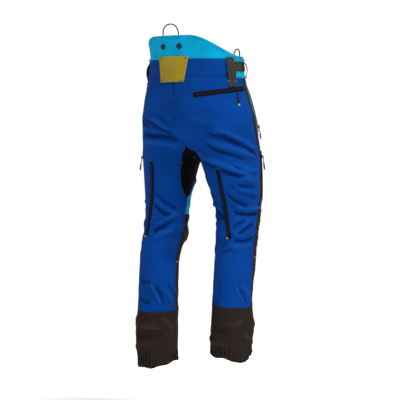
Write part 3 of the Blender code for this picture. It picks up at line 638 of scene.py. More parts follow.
def zip_track(side, places):
    """A zip line: the arc through three places on a leg, given as bearing, height and lift.

    Its outward direction turns with the arc, so that a slider keeps the same gap all the way.
    """
    bearings, heights, lifts = np.array(places).T
    points = surface(side, bearings, heights, TAPE_LIFT + lifts)
    normals = outward(points)
    points = [Vector(point) for point in points]
    centre, axis, sweep = arc_through(*points)
    along = axis.cross(points[0] - centre).normalized()
    normal = Vector(normals[0]) + Matrix.Rotation(-sweep, 3, axis) @ Vector(normals[2])
    normal = (normal - along * normal.dot(along)).normalized()
    return {"start": points[0], "arc": (centre, axis, sweep), "normal": normal}


def zip_places():
    """Points along every zip and down its pull, which the folds keep clear of."""
    places = []
    for side, spots, _ in ZIPS.values():
        track = zip_track(side, spots)
        places.extend(zip_place(track, share)[0] for share in np.linspace(-0.05, 1.05, 24))
    return [np.array(place) for place in places]


ZIP_PLACES = zip_places()


# ---------------------------------------------------------------- folds and fullness


def smooth_route(points, count):
    """Evenly numbered points on a smooth curve through the route's own points."""
    places = np.linspace(0.0, 1.0, len(points))
    rows = [(place, *point) for place, point in zip(places, points)]
    return np.moveaxis(between(rows, np.linspace(0.0, 1.0, count)), 0, -1)


def fold_lift(places, half_width, rise, bearing, height):
    """The lift of one fold: a round ridge, or a crease if its rise is below zero."""
    route = smooth_route(places, FOLD_STEPS) * (math.radians(1.0) * LEG_RADIUS, 1.0)
    flat = unrolled(bearing, height)
    nearest = np.full(bearing.shape, 9.0)
    share = np.zeros(bearing.shape)
    for index in range(len(route) - 1):
        run = route[index + 1] - route[index]
        offset = flat - route[index]
        t = np.clip((offset @ run) / (run @ run), 0.0, 1.0)
        distance = np.linalg.norm(offset - t[..., None] * run, axis=-1)
        closer = distance < nearest
        nearest = np.where(closer, distance, nearest)
        share = np.where(closer, (index + t) / (len(route) - 1), share)
    fade = ease(share / FOLD_FADE) * ease((1.0 - share) / FOLD_FADE)
    return rise * fade * np.exp(-((nearest / half_width) ** 2))


def crumple(side, bearing, height):
    """Small irregular fullness, stretched along the leg's girth, strongest at the knee and cuff."""
    amount = between(FULLNESS, height)[0]
    offset = 7.0 if side == "left" else 3.0
    flat = unrolled(bearing, height)
    values = np.empty(bearing.shape)
    for index in np.ndindex(bearing.shape):
        across, along = flat[index]
        slant = along + 0.25 * across
        broad = noise.noise((across / 0.080 + offset, slant / 0.034, offset))
        fine = noise.noise((across / 0.034 - offset, slant / 0.014, offset))
        values[index] = broad + 0.35 * fine
    return values * amount


def clear_of_zips(points):
    """0 at a zip or its pull, 1 well away from them, so that the cloth lies flat under each."""
    nearest = np.full(points.shape[:-1], 9.0)
    for place in ZIP_PLACES:
        nearest = np.minimum(nearest, np.linalg.norm(points - place, axis=-1))
    return ease((nearest - ZIP_FLAT) / ZIP_FADE)


def swung(side, bearing, height):
    """Heights near the cuff seam, lifted as the seam rises and falls round the leg."""
    swing_at, swings = np.array(CUFF_SWING[side]).T
    swing = np.interp(bearing, swing_at, swings, period=360.0)
    return height + swing * np.exp(-(((height - CUFF_TOP[side]) / CUFF_SWING_REACH) ** 2))


def strip_back(heights):
    """Bearings of the side strip's rear seam."""
    return STRIP_BACK + between(STRIP_SHIFT, heights)[0]


def relief(side, bearing, height):
    """How far the cloth of a leg stands off the body form, in metres."""
    lift = crumple(side, bearing, height)
    for places, half_width, rise in FOLDS[side]:
        route = [(at_bearing, at_height / MM) for at_bearing, at_height in places]
        ridge = (half_width / MM * FOLD_WIDTH, rise / MM * FOLD_GAIN)
        lift = lift + fold_lift(route, *ridge, bearing, height)
    lift = np.clip(lift, -MOST_RELIEF, MOST_RELIEF)
    lift = lift * ease((BAND_BOTTOM - height) / BAND_FADE)
    lift = np.where(height < CUFF_TOP[side], lift * CUFF_GAIN, lift)
    return lift * clear_of_zips(surface(side, bearing, height))


# ---------------------------------------------------------------- materials


def node(tree, kind, **values):
    """A shader node with its settings and unlinked inputs given by name."""
    made = tree.nodes.new(kind)
    for name, value in values.items():
        if hasattr(made, name):
            setattr(made, name, value)
        else:
            made.inputs[name.replace("_", " ")].default_value = value
    return made


def math_node(tree, operation, first, second):
    made = node(tree, "ShaderNodeMath", operation=operation)
    for socket, value in zip(made.inputs, (first, second)):
        if isinstance(value, (int, float)):
            socket.default_value = value
        else:
            tree.links.new(value, socket)
    return made.outputs[0]


def mixed(tree, share, first, second):
    """A colour between two others, by a share that comes from another node."""
    made = node(tree, "ShaderNodeMix", data_type="RGBA")
    tree.links.new(share, made.inputs[0])
    for socket, value in ((made.inputs[6], first), (made.inputs[7], second)):
        if isinstance(value, tuple):
            socket.default_value = (*value, 1.0)
        else:
            tree.links.new(value, socket)
    return made.outputs[2]


def ramp(tree, value, low, high):
    made = node(tree, "ShaderNodeMapRange", interpolation_type="SMOOTHSTEP")
    tree.links.new(value, made.inputs["Value"])
    made.inputs["From Min"].default_value = low
    made.inputs["From Max"].default_value = high
    return made.outputs[0]


def noise_of(tree, coordinates, scale, detail=3.0):
    made = node(tree, "ShaderNodeTexNoise", Scale=scale, Detail=detail)
    tree.links.new(coordinates, made.inputs["Vector"])
    return made.outputs["Fac"]


def new_material(name, roughness, metallic=0.0, sheen=0.0, coat=0.0):
    made = bpy.data.materials.new(name)
    made.use_nodes = True
    tree = made.node_tree
    shader = tree.nodes["Principled BSDF"]
    shader.inputs["Roughness"].default_value = roughness
    shader.inputs["Metallic"].default_value = metallic
    shader.inputs["Sheen Weight"].default_value = sheen
    shader.inputs["Sheen Roughness"].default_value = 0.45
    shader.inputs["Coat Weight"].default_value = coat
    return made, tree, shader


def bands(tree, axis, pitch):
    """Even bands across the cloth, from its flat coordinates in metres."""
    flat = node(tree, "ShaderNodeUVMap", uv_map="cloth").outputs["UV"]
    made = node(tree, "ShaderNodeTexWave", bands_direction=axis, Scale=math.pi / 10.0 / pitch)
    tree.links.new(flat, made.inputs["Vector"])
    return made.outputs["Fac"]


def bumped(tree, shader, *layers):
    """Stacks bump layers, given as (height socket, distance in metres, strength)."""
    normal = None
    for height, distance, strength in layers:
        bump = node(tree, "ShaderNodeBump", Strength=strength, Distance=distance)
        tree.links.new(height, bump.inputs["Height"])
        if normal is not None:
            tree.links.new(normal, bump.inputs["Normal"])
        normal = bump.outputs["Normal"]
    tree.links.new(normal, shader.inputs["Normal"])


def cloth_material(name, color, worn, pitch, sheen=0.004, roughness=0.82, grid=None, ribs=None):
    """Woven cloth: threads, uneven dye, fading at worn edges, painted shade in fold creases, painted highlight
    on fold ridges and, if asked, ripstop or ribs.
    """
    made, tree, shader = new_material(name, roughness, sheen=sheen)
    shader.inputs["Specular IOR Level"].default_value = 0.04
    position = node(tree, "ShaderNodeTexCoord").outputs["Object"]
    cloudy = noise_of(tree, position, 9.0, 4.0)
    grain = noise_of(tree, position, 420.0, 2.0)
    threads = math_node(tree, "MULTIPLY", bands(tree, "X", pitch), bands(tree, "Y", pitch))
    shade = tuple(0.80 * part for part in color)
    dyed = mixed(tree, ramp(tree, cloudy, 0.34, 0.66), shade, color)
    speckled = mixed(tree, ramp(tree, grain, 0.58, 0.85), dyed, worn)
    edge = node(tree, "ShaderNodeAttribute", attribute_name="edge").outputs["Fac"]
    rubbed = math_node(tree, "MULTIPLY", ramp(tree, edge, 0.35, 1.0), ramp(tree, cloudy, 0.40, 0.62))
    dye_wear_and_painted_light = mixed(tree, math_node(tree, "MULTIPLY", rubbed, 0.30), speckled, worn)
    # Painted shade: the cloth darkens towards a deep copy of its colour in fold creases. Painted highlight: it
    # lightens towards the worn colour on fold ridges.
    painted_fold_light = node(tree, "ShaderNodeAttribute", attribute_name="painted_fold_light").outputs["Fac"]
    depth = math_node(tree, "MULTIPLY", painted_fold_light, -1.0)
    painted_crease_shade = math_node(tree, "MULTIPLY", ramp(tree, depth, 0.05, 0.95), 0.85)
    dye_wear_and_painted_light = mixed(tree, painted_crease_shade, dye_wear_and_painted_light, tuple(0.42 * part for part in color))
    painted_ridge_highlight = math_node(tree, "MULTIPLY", ramp(tree, painted_fold_light, 0.10, 1.0), 0.50)
    dye_wear_and_painted_light = mixed(tree, painted_ridge_highlight, dye_wear_and_painted_light, worn)
    layers = [(grain, 0.0004, 0.25), (threads, 0.0003, 0.45)]
    if grid:
        lines = math_node(
            tree, "MAXIMUM", ramp(tree, bands(tree, "X", grid), 0.70, 0.96),
            math_node(tree, "MULTIPLY", ramp(tree, bands(tree, "Y", grid), 0.90, 0.99), 0.40),
        )
        dye_wear_and_painted_light = mixed(tree, math_node(tree, "MULTIPLY", lines, 0.75), dye_wear_and_painted_light, worn)
        layers.append((lines, 0.0006, 0.6))
    if ribs:
        rows = bands(tree, "X", ribs)
        dye_wear_and_painted_light = mixed(tree, math_node(tree, "MULTIPLY", ramp(tree, rows, 0.35, 0.85), 0.85), dye_wear_and_painted_light, worn)
        layers.append((rows, 0.0006, 0.8))
    tree.links.new(dye_wear_and_painted_light, shader.inputs["Base Color"])
    bumped(tree, shader, *layers)
    return made


def solid_material(name, color, worn, roughness, metallic=0.0, scale=180.0, coat=0.0, sheen=0.0):
    """Moulded plastic, rubber, thread or metal: mottled colour, fine grain and rubbed high spots."""
    made, tree, shader = new_material(name, roughness, metallic, sheen, coat)
    shader.inputs["Specular IOR Level"].default_value = 0.25
    position = node(tree, "ShaderNodeTexCoord").outputs["Object"]
    grain = noise_of(tree, position, scale, 4.0)
    broad = noise_of(tree, position, scale / 8.0, 2.0)
    mottled = mixed(tree, ramp(tree, broad, 0.35, 0.70), color, tuple(0.7 * part for part in color))
    tree.links.new(
        mixed(tree, ramp(tree, grain, 0.56, 0.80), mottled, worn), shader.inputs["Base Color"]
    )
    bumped(tree, shader, (grain, 0.0003, 0.35))
    return made


BLUE_CLOTH = cloth_material("blue_cloth", (0.0006, 0.045, 0.258), (0.004, 0.074, 0.330), 0.0011)
TURQUOISE_CLOTH = cloth_material(
    "turquoise_cloth", (0.001, 0.350, 0.600), (0.012, 0.400, 0.640), 0.0011
)
RIPSTOP_CLOTH = cloth_material(
    "dark_ripstop", (0.0130, 0.0080, 0.0058), (0.046, 0.033, 0.026), 0.0012, grid=0.0075, roughness=0.74
)
BLACK_CLOTH = cloth_material("black_cloth", (0.0022, 0.0020, 0.0028), (0.008, 0.008, 0.010), 0.0009)
PAD_CLOTH = cloth_material("pad_cloth", (0.40, 0.39, 0.36), (0.55, 0.54, 0.50), 0.0016)
OCHRE_CLOTH = cloth_material("ochre_patch", (0.360, 0.262, 0.016), (0.430, 0.330, 0.050), 0.0012)
OCHRE_WEBBING = cloth_material(
    "ochre_webbing", (0.360, 0.262, 0.016), (0.430, 0.330, 0.050), 0.0012, ribs=0.004
)
BROWN_WEBBING = cloth_material(
    "brown_webbing", (0.018, 0.0135, 0.011), (0.085, 0.068, 0.060), 0.0010, ribs=0.0052
)
BLACK_TAPE = cloth_material("zip_tape", (0.0060, 0.0055, 0.0065), (0.022, 0.020, 0.022), 0.0009)
GREEN_THREAD = solid_material("green_thread", (0.004, 0.300, 0.230), (0.06, 0.50, 0.36), 0.70, scale=900)
# Dark blue for the line along a seam: painted shade of the seam's groove.
SEAM_SHADE = solid_material("seam_shade", (0.0005, 0.016, 0.110), (0.001, 0.030, 0.180), 0.9, scale=300)
BLUE_THREAD = solid_material("blue_thread", (0.0010, 0.040, 0.230), (0.004, 0.070, 0.330), 0.80, scale=900)
GREY_THREAD = solid_material("grey_thread", (0.36, 0.36, 0.38), (0.52, 0.52, 0.54), 0.60, scale=900)
CORD_MATERIAL = solid_material("cord", (0.004, 0.0045, 0.0045), (0.030, 0.070, 0.020), 0.75, scale=500)
RUBBER = solid_material("pull_rubber", (0.006, 0.0055, 0.006), (0.026, 0.022, 0.020), 0.55, scale=500)
GREEN_TIP = solid_material("pull_tip", (0.360, 0.460, 0.030), (0.52, 0.60, 0.16), 0.45, scale=500)
BLACK_PLASTIC = solid_material("button", (0.004, 0.004, 0.0045), (0.016, 0.016, 0.018), 0.55)
DARK_METAL = solid_material("zip_slider", (0.016, 0.016, 0.017), (0.10, 0.10, 0.10), 0.42, 0.6)
BRIGHT_METAL = solid_material("snap_metal", (0.42, 0.42, 0.43), (0.62, 0.62, 0.62), 0.28, 0.95)
COIL = solid_material("zip_coil", (0.014, 0.013, 0.015), (0.080, 0.078, 0.080), 0.38, scale=600)


# ---------------------------------------------------------------- mesh helpers


def grid_faces(rows, columns, flip, wrap=False):
    """Quad corner numbers over a grid numbered row by row."""
    row, column = np.mgrid[0 : rows - 1, 0 : columns if wrap else columns - 1]
    right = (column + 1) % columns
    corners = [
        row * columns + column,
        (row + 1) * columns + column,
        (row + 1) * columns + right,
        row * columns + right,
    ]
    faces = np.stack(corners, axis=-1).reshape(-1, 4)
    return faces if flip else faces[:, ::-1]


def mesh_object(name, points, faces, *materials):
    mesh = bpy.data.meshes.new(name)
    mesh.from_pydata(np.asarray(points, float).tolist(), [], [list(map(int, face)) for face in faces])
    for made in materials:
        mesh.materials.append(made)
    mesh.shade_smooth()
    obj = bpy.data.objects.new(name, mesh)
    bpy.context.scene.collection.objects.link(obj)
    return obj


def joined(parts):
    """The points and faces of many small meshes, as one mesh's."""
    points = []
    faces = []
    for part_points, part_faces in parts:
        first = len(points)
        points.extend(part_points)
        faces.extend([first + corner for corner in face] for face in part_faces)
    return points, faces


def cloth_object(name, points, flat, edge, faces, made, thickness=SHELL, painted_fold_light=None):
    """A cloth mesh with its flat coordinates in metres, its edge wear and a real thickness.

    The last values give painted shade that darkens the cloth in a crease, below zero, and a painted highlight
    that lightens it on a ridge, above it.
    """
    obj = mesh_object(name, points.reshape(-1, 3), faces, made)
    layer = obj.data.uv_layers.new(name="cloth")
    corner = np.empty(len(obj.data.loops), int)
    obj.data.loops.foreach_get("vertex_index", corner)
    layer.data.foreach_set("uv", flat.reshape(-1, 2)[corner].astype(np.float32).ravel())
    wear = obj.data.attributes.new("edge", "FLOAT", "POINT")
    wear.data.foreach_set("value", np.clip(edge, 0.0, 1.0).astype(np.float32).ravel())
    if painted_fold_light is not None:
        shade = obj.data.attributes.new("painted_fold_light", "FLOAT", "POINT")
        shade.data.foreach_set("value", np.clip(painted_fold_light, -1.0, 1.0).astype(np.float32).ravel())
    shell = obj.modifiers.new("cloth", "SOLIDIFY")
    shell.thickness = thickness
    shell.offset = -1.0
    return obj


def unrolled(angles, heights, radius=LEG_RADIUS):
    """Flat coordinates in metres of cloth on a leg or, with the waist's radius, round the waist."""
    return np.stack([np.radians(angles) * radius, heights], axis=-1)


def settle(obj, *nodes, slot, body=ROOT):
    """Puts a finished piece on its body in the place of its CAD nodes."""
    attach(obj, body)
    if nodes:
        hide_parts(*nodes)
    return obj


def spacing(points, axis):
    """Running length along a grid of points, in metres."""
    steps = np.linalg.norm(np.diff(points, axis=axis), axis=-1)
    start = np.zeros_like(np.take(steps, [0], axis=axis))
    return np.concatenate([start, np.cumsum(steps, axis=axis)], axis=axis)


def seam_finish(points, open_edges=()):
    """Lift and wear near the edges of a piece: it rolls into its seams and puckers along them."""
    across = spacing(points, 1)
    along = spacing(points, 0)
    distances = {
        "start": across,
        "end": across[:, -1:] - across,
        "top": along,
        "bottom": along[-1:, :] - along,
    }
    lift = np.zeros(across.shape)
    wear = np.zeros(across.shape)
    for edge, distance in distances.items():
        run = along if edge in ("start", "end") else across
        if edge not in open_edges:
            lift -= SEAM_DROP * np.exp(-((distance / SEAM_ROLL) ** 2))
            waves = np.sin(run * (2.0 * math.pi / PUCKER_PITCH) + 2.0 * np.sin(run * 61.0))
            lift += PUCKER * waves * np.exp(-((distance - SEAM_ROLL) / PUCKER_REACH) ** 2)
        wear = np.maximum(wear, np.exp(-distance / 0.006))
    return lift, wear


# ---------------------------------------------------------------- leg cloth


def fine_heights(top, bottom):
    return np.linspace(top, bottom, max(3, int(round((top - bottom) / GRID)) + 1))


def leg_cloth(name, side, edges, top, bottom, made, slot):
    """A fine piece of one leg between two seams, with its folds and its sewn edges."""
    heights = fine_heights(top + SEAM_LAP, bottom - SEAM_LAP)
    low, high = edges(heights)
    reach = math.radians(float((high - low).max())) * LEG_RADIUS
    shares = np.linspace(0.0, 1.0, max(3, int(round(reach / GRID)) + 1))
    bearings = (low - SEAM_LAP_DEG)[:, None] * (1.0 - shares) + (high + SEAM_LAP_DEG)[:, None] * shares
    tall = swung(side, bearings, heights[:, None] + 0.0 * bearings)
    smooth = surface(side, bearings, tall)
    lift, wear = seam_finish(smooth, ("start",) if name == "back_panel" else ())
    folds = relief(side, bearings, tall)
    points = surface(side, bearings, tall, lift + folds)
    flat = unrolled(bearings, tall)
    faces = grid_faces(*bearings.shape, flip=side == "right")
    # The folds also paint shade into the creases and a highlight onto the ridges.
    obj = cloth_object(f"{name}_{side}_cloth", points, flat, wear, faces, made, painted_fold_light=folds / PAINTED_FOLD_LIGHT_RELIEF)
    settle(obj, f"{name}_{side}", slot=slot)


def at(value):
    """A seam that stays at one bearing or one height."""
    return lambda places: np.full_like(places, value)


def leg_pieces(side):
    """The back panel, side strip, front thigh and front shin of one leg."""

    def inner_back(heights):
        return gusset_edge(side, heights)[0]

    def inner_front(heights):
        return gusset_edge(side, heights)[1]

    cuff = CUFF_TOP[side]
    rows = (
        ("back_panel", inner_back, strip_back, BAND_BOTTOM, cuff, BLUE_CLOTH, "blue_cloth",
         ["waistband_back"]),
        ("side_strip", strip_back, at(STRIP_FRONT), BAND_BOTTOM, cuff, RIPSTOP_CLOTH,
         "dark_ripstop", [f"waist_side_{side}"]),
        ("front_thigh", at(STRIP_FRONT), inner_front, BAND_BOTTOM, KNEE_TOP, TURQUOISE_CLOTH,
         "turquoise_cloth", [f"waistband_front_{side}"]),
        ("shin_front", at(STRIP_FRONT), inner_front, KNEE_TOP, cuff, RIPSTOP_CLOTH,
         "dark_ripstop", [f"front_thigh_{side}"]),
    )
    for name, start, end, top, bottom, made, slot, rests_on in rows:
        def edges(heights, start=start, end=end):
            return start(heights), end(heights)

        leg_cloth(name, side, edges, top, bottom, made, slot)


def gusset_cloth():
    """One diamond over the crotch, as four fine triangles that share the seat seam and inseams."""
    heights = fine_heights(GUSSET_TOP - SEAM_GAP, GUSSET_TIP + SEAM_GAP)
    columns = 16
    pieces = []
    for side in SIDES:
        seam_back, seam_front = seams(side, heights)
        edge_back, edge_front = gusset_edge(side, heights)
        shares = np.linspace(0.0, 1.0, columns)
        for seam, edge, front in (
            (seam_back, np.maximum(edge_back + SEAM_LAP_DEG, seam_back), False),
            (seam_front, np.minimum(edge_front - SEAM_LAP_DEG, seam_front), True),
        ):
            bearings = seam[:, None] * (1.0 - shares) + edge[:, None] * shares
            tall = heights[:, None] + 0.0 * bearings
            drop = -SEAM_DROP * np.exp(-((1.0 - shares) * 0.05 / SEAM_ROLL) ** 2)
            lift = drop + 0.4 * relief(side, bearings, tall) * ease(shares * 3.0)
            points = surface(side, bearings, tall, lift)
            flat = unrolled(bearings, tall)
            faces = grid_faces(*bearings.shape, flip=(side == "right") != front)
            pieces.append((points, flat, faces))
    size = pieces[0][0].shape[0] * columns
    faces = np.concatenate([part[2] + index * size for index, part in enumerate(pieces)])
    points = np.concatenate([part[0].reshape(-1, 3) for part in pieces])
    flat = np.concatenate([part[1].reshape(-1, 2) for part in pieces])
    obj = cloth_object("gusset_cloth", points, flat, np.zeros(len(points)), faces, BLACK_CLOTH)
    weld = obj.modifiers.new("joined", "WELD")
    weld.merge_threshold = 0.0003
    obj.modifiers.move(1, 0)
    settle(obj, "gusset", slot="black_cloth")


def cuff_cloth(side):
    """A baggy cuff: fullness under its seam, a stitched casing and a hem gathered by elastic."""
    heights = fine_heights(CUFF_TOP[side] + SEAM_LAP, HEM[side])
    bearings = np.linspace(0.0, 360.0, CUFF_TURNS, endpoint=False)
    angles = bearings + 0.0 * heights[:, None]
    share = (heights[0] - heights) / (heights[0] - heights[-1])
    waves = np.sin(np.radians(bearings * 3.0 + 40.0)) + 0.6 * np.sin(np.radians(bearings * 7.0))
    wobble = CUFF_WOBBLE * waves
    rise_at, rises = np.array(HEM_RISE[side]).T
    swing = np.interp(bearings, rise_at, rises, period=360.0)
    tall = heights[:, None] + wobble * (share[:, None] ** 4) + swing * (share[:, None] ** 2)
    tall = swung(side, angles, tall)
    smooth = surface(side, angles, heights[:, None] + 0.0 * angles)
    seam = -SEAM_DROP * np.exp(-(((heights[0] - heights) / SEAM_ROLL) ** 2))
    from_hem = heights - heights[-1]
    casing = CASING_RISE * np.exp(-(((from_hem - CASING_HEIGHT / 2.0) / (CASING_HEIGHT / 2.2)) ** 4))
    stitch = -CASING_STITCH * np.exp(-(((from_hem - CASING_HEIGHT) / 0.0022) ** 2))
    gathers = GATHER_DEPTH * np.sin(
        np.radians(angles * GATHERS) + 1.4 * np.sin(np.radians(angles * 5.0 + 30.0))
    )
    gathers = gathers * (0.8 + 0.6 * np.sin(np.radians(angles * 3.0 + 70.0)))
    gathers = gathers * np.exp(-(((from_hem[:, None] - 0.008) / 0.034) ** 2))
    lift = (seam + casing + stitch)[:, None] + gathers
    wrapped = np.where(angles > 270.0, angles - 360.0, angles)
    folds = relief(side, wrapped, tall)
    from_ends = (np.abs(wrapped - 270.0) % 360.0, np.abs(wrapped + 90.0) % 360.0)
    join_share = ease(from_ends[0] / 12.0) * ease(from_ends[1] / 12.0)
    points = surface(side, angles, tall, lift + folds * join_share)
    flat = unrolled(angles, tall)
    wear = np.exp(-from_hem / 0.012)[:, None] + 0.0 * angles
    faces = grid_faces(*angles.shape, flip=side == "right", wrap=True)
    # Painted shade in the hollows of the gathers and folds, painted highlight on their crests.
    painted_fold_light = (gathers + folds * join_share) / PAINTED_FOLD_LIGHT_RELIEF
    obj = cloth_object(f"cuff_{side}_cloth", points, flat, wear, faces, RIPSTOP_CLOTH, painted_fold_light=painted_fold_light)
    settle(obj, f"cuff_{side}", slot="dark_ripstop")


def saw_pad(side):
    """The layered pad inside the front of a leg, quilted in rows, open at its lower edge."""
    heights = fine_heights(PAD_TOP - SEAM_GAP, HEM[side] + PAD_ABOVE_HEM)
    inner_front = gusset_edge(side, heights)[1]
    shares = np.linspace(0.0, 1.0, PAD_COLUMNS)
    low = np.full_like(heights, STRIP_FRONT + PAD_MARGINS[0])
    bearings = low[:, None] * (1.0 - shares) + (inner_front - PAD_MARGINS[1])[:, None] * shares
    tall = heights[:, None] + 0.0 * bearings
    quilt = -PAD_QUILT * np.exp(-((((heights - heights[0]) % PAD_ROW) - PAD_ROW / 2.0) / 0.004) ** 2)
    lift = -PAD_SINK - PAD_SPARE + quilt[:, None] + 0.0 * bearings
    points = surface(side, bearings, tall, lift)
    flat = unrolled(bearings, tall)
    faces = grid_faces(*bearings.shape, flip=side == "right")
    edge = np.zeros(bearings.shape)
    name = f"saw_pad_{side}_layers"
    obj = cloth_object(name, points, flat, edge, faces, PAD_CLOTH, PAD_THICKNESS - PAD_SPARE)
    settle(obj, f"saw_pad_{side}", slot="pad_cloth")


# ---------------------------------------------------------------- waist cloth


def waist_cloth(name, node_name, angles, bottom, top, made, slot, open_edges=()):
    """A fine piece round the waist, with its heights given for each angle."""
    reach = math.radians(abs(angles[1] - angles[0])) * WAIST_RADIUS
    angles = np.linspace(angles[0], angles[1], int(round(reach / GRID)) + 1)
    low = bottom(angles)
    high = top(angles)
    rows = max(6, int(round(float((high - low).max()) / GRID)) + 1)
    shares = np.linspace(0.0, 1.0, rows)[:, None]
    heights = high * (1.0 - shares) + low * shares
    wide = angles + 0.0 * shares
    smooth = waist(wide, heights)
    lift, wear = seam_finish(smooth, open_edges)
    lift = lift + WAIST_WAVE * np.sin(np.radians(wide * 9.0) + heights * 60.0)
    points = waist(wide, heights, lift)
    flat = unrolled(wide, heights, WAIST_RADIUS)
    faces = grid_faces(*wide.shape, flip=False)
    obj = cloth_object(name, points, flat, wear, faces, made)
    settle(obj, node_name, slot=slot)
    return obj


def waist_cloths():
    edge = SEAM_LAP_DEG
    back = (-YOKE_END - edge, YOKE_END + edge)
    waist_cloth(
        "back_yoke_cloth", "back_yoke", back, at(-SEAM_LAP), yoke_top, TURQUOISE_CLOTH,
        "turquoise_cloth", ("top",),
    )
    waist_cloth(
        "waistband_back_cloth", "waistband_back", back, at(BAND_BOTTOM), at(SEAM_LAP), BLUE_CLOTH,
        "blue_cloth",
    )
    for side, sign in SIDES.items():
        beside = sorted((sign * (YOKE_END - edge), sign * (SIDE_END + edge)))
        waist_cloth(
            f"waist_side_{side}_cloth", f"waist_side_{side}", beside, at(BAND_BOTTOM), yoke_top,
            TURQUOISE_CLOTH, "turquoise_cloth", ("top",),
        )
        front = sorted((sign * (SIDE_END - edge), sign * (180.0 - FLY_GAP)))
        name = f"waistband_front_{side}"
        waist_cloth(
            f"{name}_cloth", name, front, at(BAND_BOTTOM), at(FRONT_TOP), BLUE_CLOTH,
            "blue_cloth", ("top",),
        )


def sweep_tube(route, radius, sides=8, closed=False):
    """Points and faces of a round tube along a route, with capped ends unless it is closed."""
    route = np.asarray(route, float)
    ahead = np.roll(route, -1, 0) if closed else np.vstack([route[1:], 2 * route[-1] - route[-2]])
    behind = np.roll(route, 1, 0) if closed else np.vstack([2 * route[0] - route[1], route[:-1]])
    along = (ahead - behind) / np.linalg.norm(ahead - behind, axis=1, keepdims=True)
    side = np.cross(along[0], (0.3, 0.2, 0.9))
    rings = []
    for place, direction in zip(route, along):
        side = side - direction * (side @ direction)
        side = side / np.linalg.norm(side)
        other = np.cross(direction, side)
        turn = np.linspace(0.0, 2.0 * math.pi, sides, endpoint=False)[:, None]
        rings.append(place + radius * (np.cos(turn) * side + np.sin(turn) * other))
    count = len(rings)
    faces = [list(face) for face in grid_faces(count, sides, flip=False, wrap=True)]
    if closed:
        for column in range(sides):
            following = (column + 1) % sides
            last = (count - 1) * sides
            faces.append([last + column, following + last, following, column][::-1])
    else:
        faces.append(list(range(sides)))
        faces.append([(count - 1) * sides + column for column in range(sides)][::-1])
    return np.vstack(rings), faces


def edge_binding():
    """The rolled edge along the top of the yoke, the sides and the front of the waist."""
    angles = np.concatenate([
        np.linspace(-180.0 + FLY_GAP, -SIDE_END, 60),
        np.linspace(-SIDE_END, SIDE_END, 200)[1:-1],
        np.linspace(SIDE_END, 180.0 - FLY_GAP, 60),
    ])
    lift = -SHELL / 2.0 + 0.0 * angles
    route = waist(angles, yoke_top(angles), lift)
    points, faces = sweep_tube(route, BINDING_RADIUS)
    obj = mesh_object("waist_edge_binding", points, faces, TURQUOISE_CLOTH)
    settle(obj, slot="turquoise_cloth")


def back_patch():
    """The ochre belt tunnel: a hemmed trapezoid with rolled edges and a plain cross-stitched box."""

    def half_angle(share):
        return PATCH_TOP[1] * (1.0 - share) + PATCH_BOTTOM[1] * share

    shares = np.linspace(0.0, 1.0, 28)[:, None]
    across = np.linspace(-1.0, 1.0, 44)
    heights = PATCH_TOP[0] * (1.0 - shares) + PATCH_BOTTOM[0] * shares + 0.0 * across
    angles = PATCH_CENTRE + across * half_angle(shares)
    smooth = waist(angles, heights, TRIM_LIFT + WEBBING)
    lift, wear = seam_finish(smooth)
    hollow = PATCH_BULGE * (1.0 - across**4) * (1.0 - (2.0 * shares - 1.0) ** 6)
    points = waist(angles, heights, TRIM_LIFT + WEBBING + 0.4 * lift + hollow)
    flat = unrolled(angles, heights, WAIST_RADIUS)
    faces = grid_faces(*angles.shape, flip=False)
    obj = cloth_object("back_patch_cloth", points, flat, wear, faces, OCHRE_CLOTH, WEBBING)
    settle(obj, "back_patch", slot="ochre_patch")
    border = []
    for row in (0.07, 0.93):
        angle = PATCH_CENTRE + np.linspace(-0.90, 0.90, 60) * half_angle(row)
        height = PATCH_TOP[0] * (1 - row) + PATCH_BOTTOM[0] * row
        border.append(waist(angle, height, PATCH_STITCH))
    for sign in (-1.0, 1.0):
        row = np.linspace(0.07, 0.93, 30)
        height = PATCH_TOP[0] * (1 - row) + PATCH_BOTTOM[0] * row
        border.append(waist(PATCH_CENTRE + sign * 0.90 * half_angle(row), height, PATCH_STITCH))
    stitches("back_patch_topstitch", border, OCHRE_WEBBING, "ochre_patch")
    stitches("back_patch_box_stitch", box_stitch(), GREY_THREAD, "ochre_patch", pitch=0.0026)


def box_stitch():
    """A plain box with a cross in it, as sewn through the two layers of a belt tunnel."""
    half_turn, low, high = BOX_STITCH
    left, right = PATCH_CENTRE - half_turn, PATCH_CENTRE + half_turn
    corners = [(left, low), (right, low), (right, high), (left, high)]
    runs = list(zip(corners, corners[1:] + corners[:1]))
    runs += [(corners[0], corners[2]), (corners[1], corners[3])]
    lines = []
    for (first_angle, first_height), (last_angle, last_height) in runs:
        share = np.linspace(0.0, 1.0, 24)
        angle = first_angle + (last_angle - first_angle) * share
        height = first_height + (last_height - first_height) * share
        lines.append(waist(angle, height, PATCH_STITCH + PATCH_BULGE))
    return lines


def stitches(name, lines, made, slot, pitch=0.0036):
    """Rows of short raised stitches along lines of points on the cloth, joined as one piece."""
    threads = []
    for line in lines:
        run = spacing(np.asarray(line)[None, :, :], 1)[0]
        for start in (np.arange(int(run[-1] / pitch)) + 0.2) * pitch:
            places = start + pitch * STITCH_SHARE * np.array([0.0, 0.5, 1.0])
            route = np.stack([np.interp(places, run, line[:, axis]) for axis in range(3)], axis=-1)
            threads.append(sweep_tube(route, STITCH_RADIUS, sides=5))
    settle(mesh_object(name, *joined(threads), made), slot=slot)


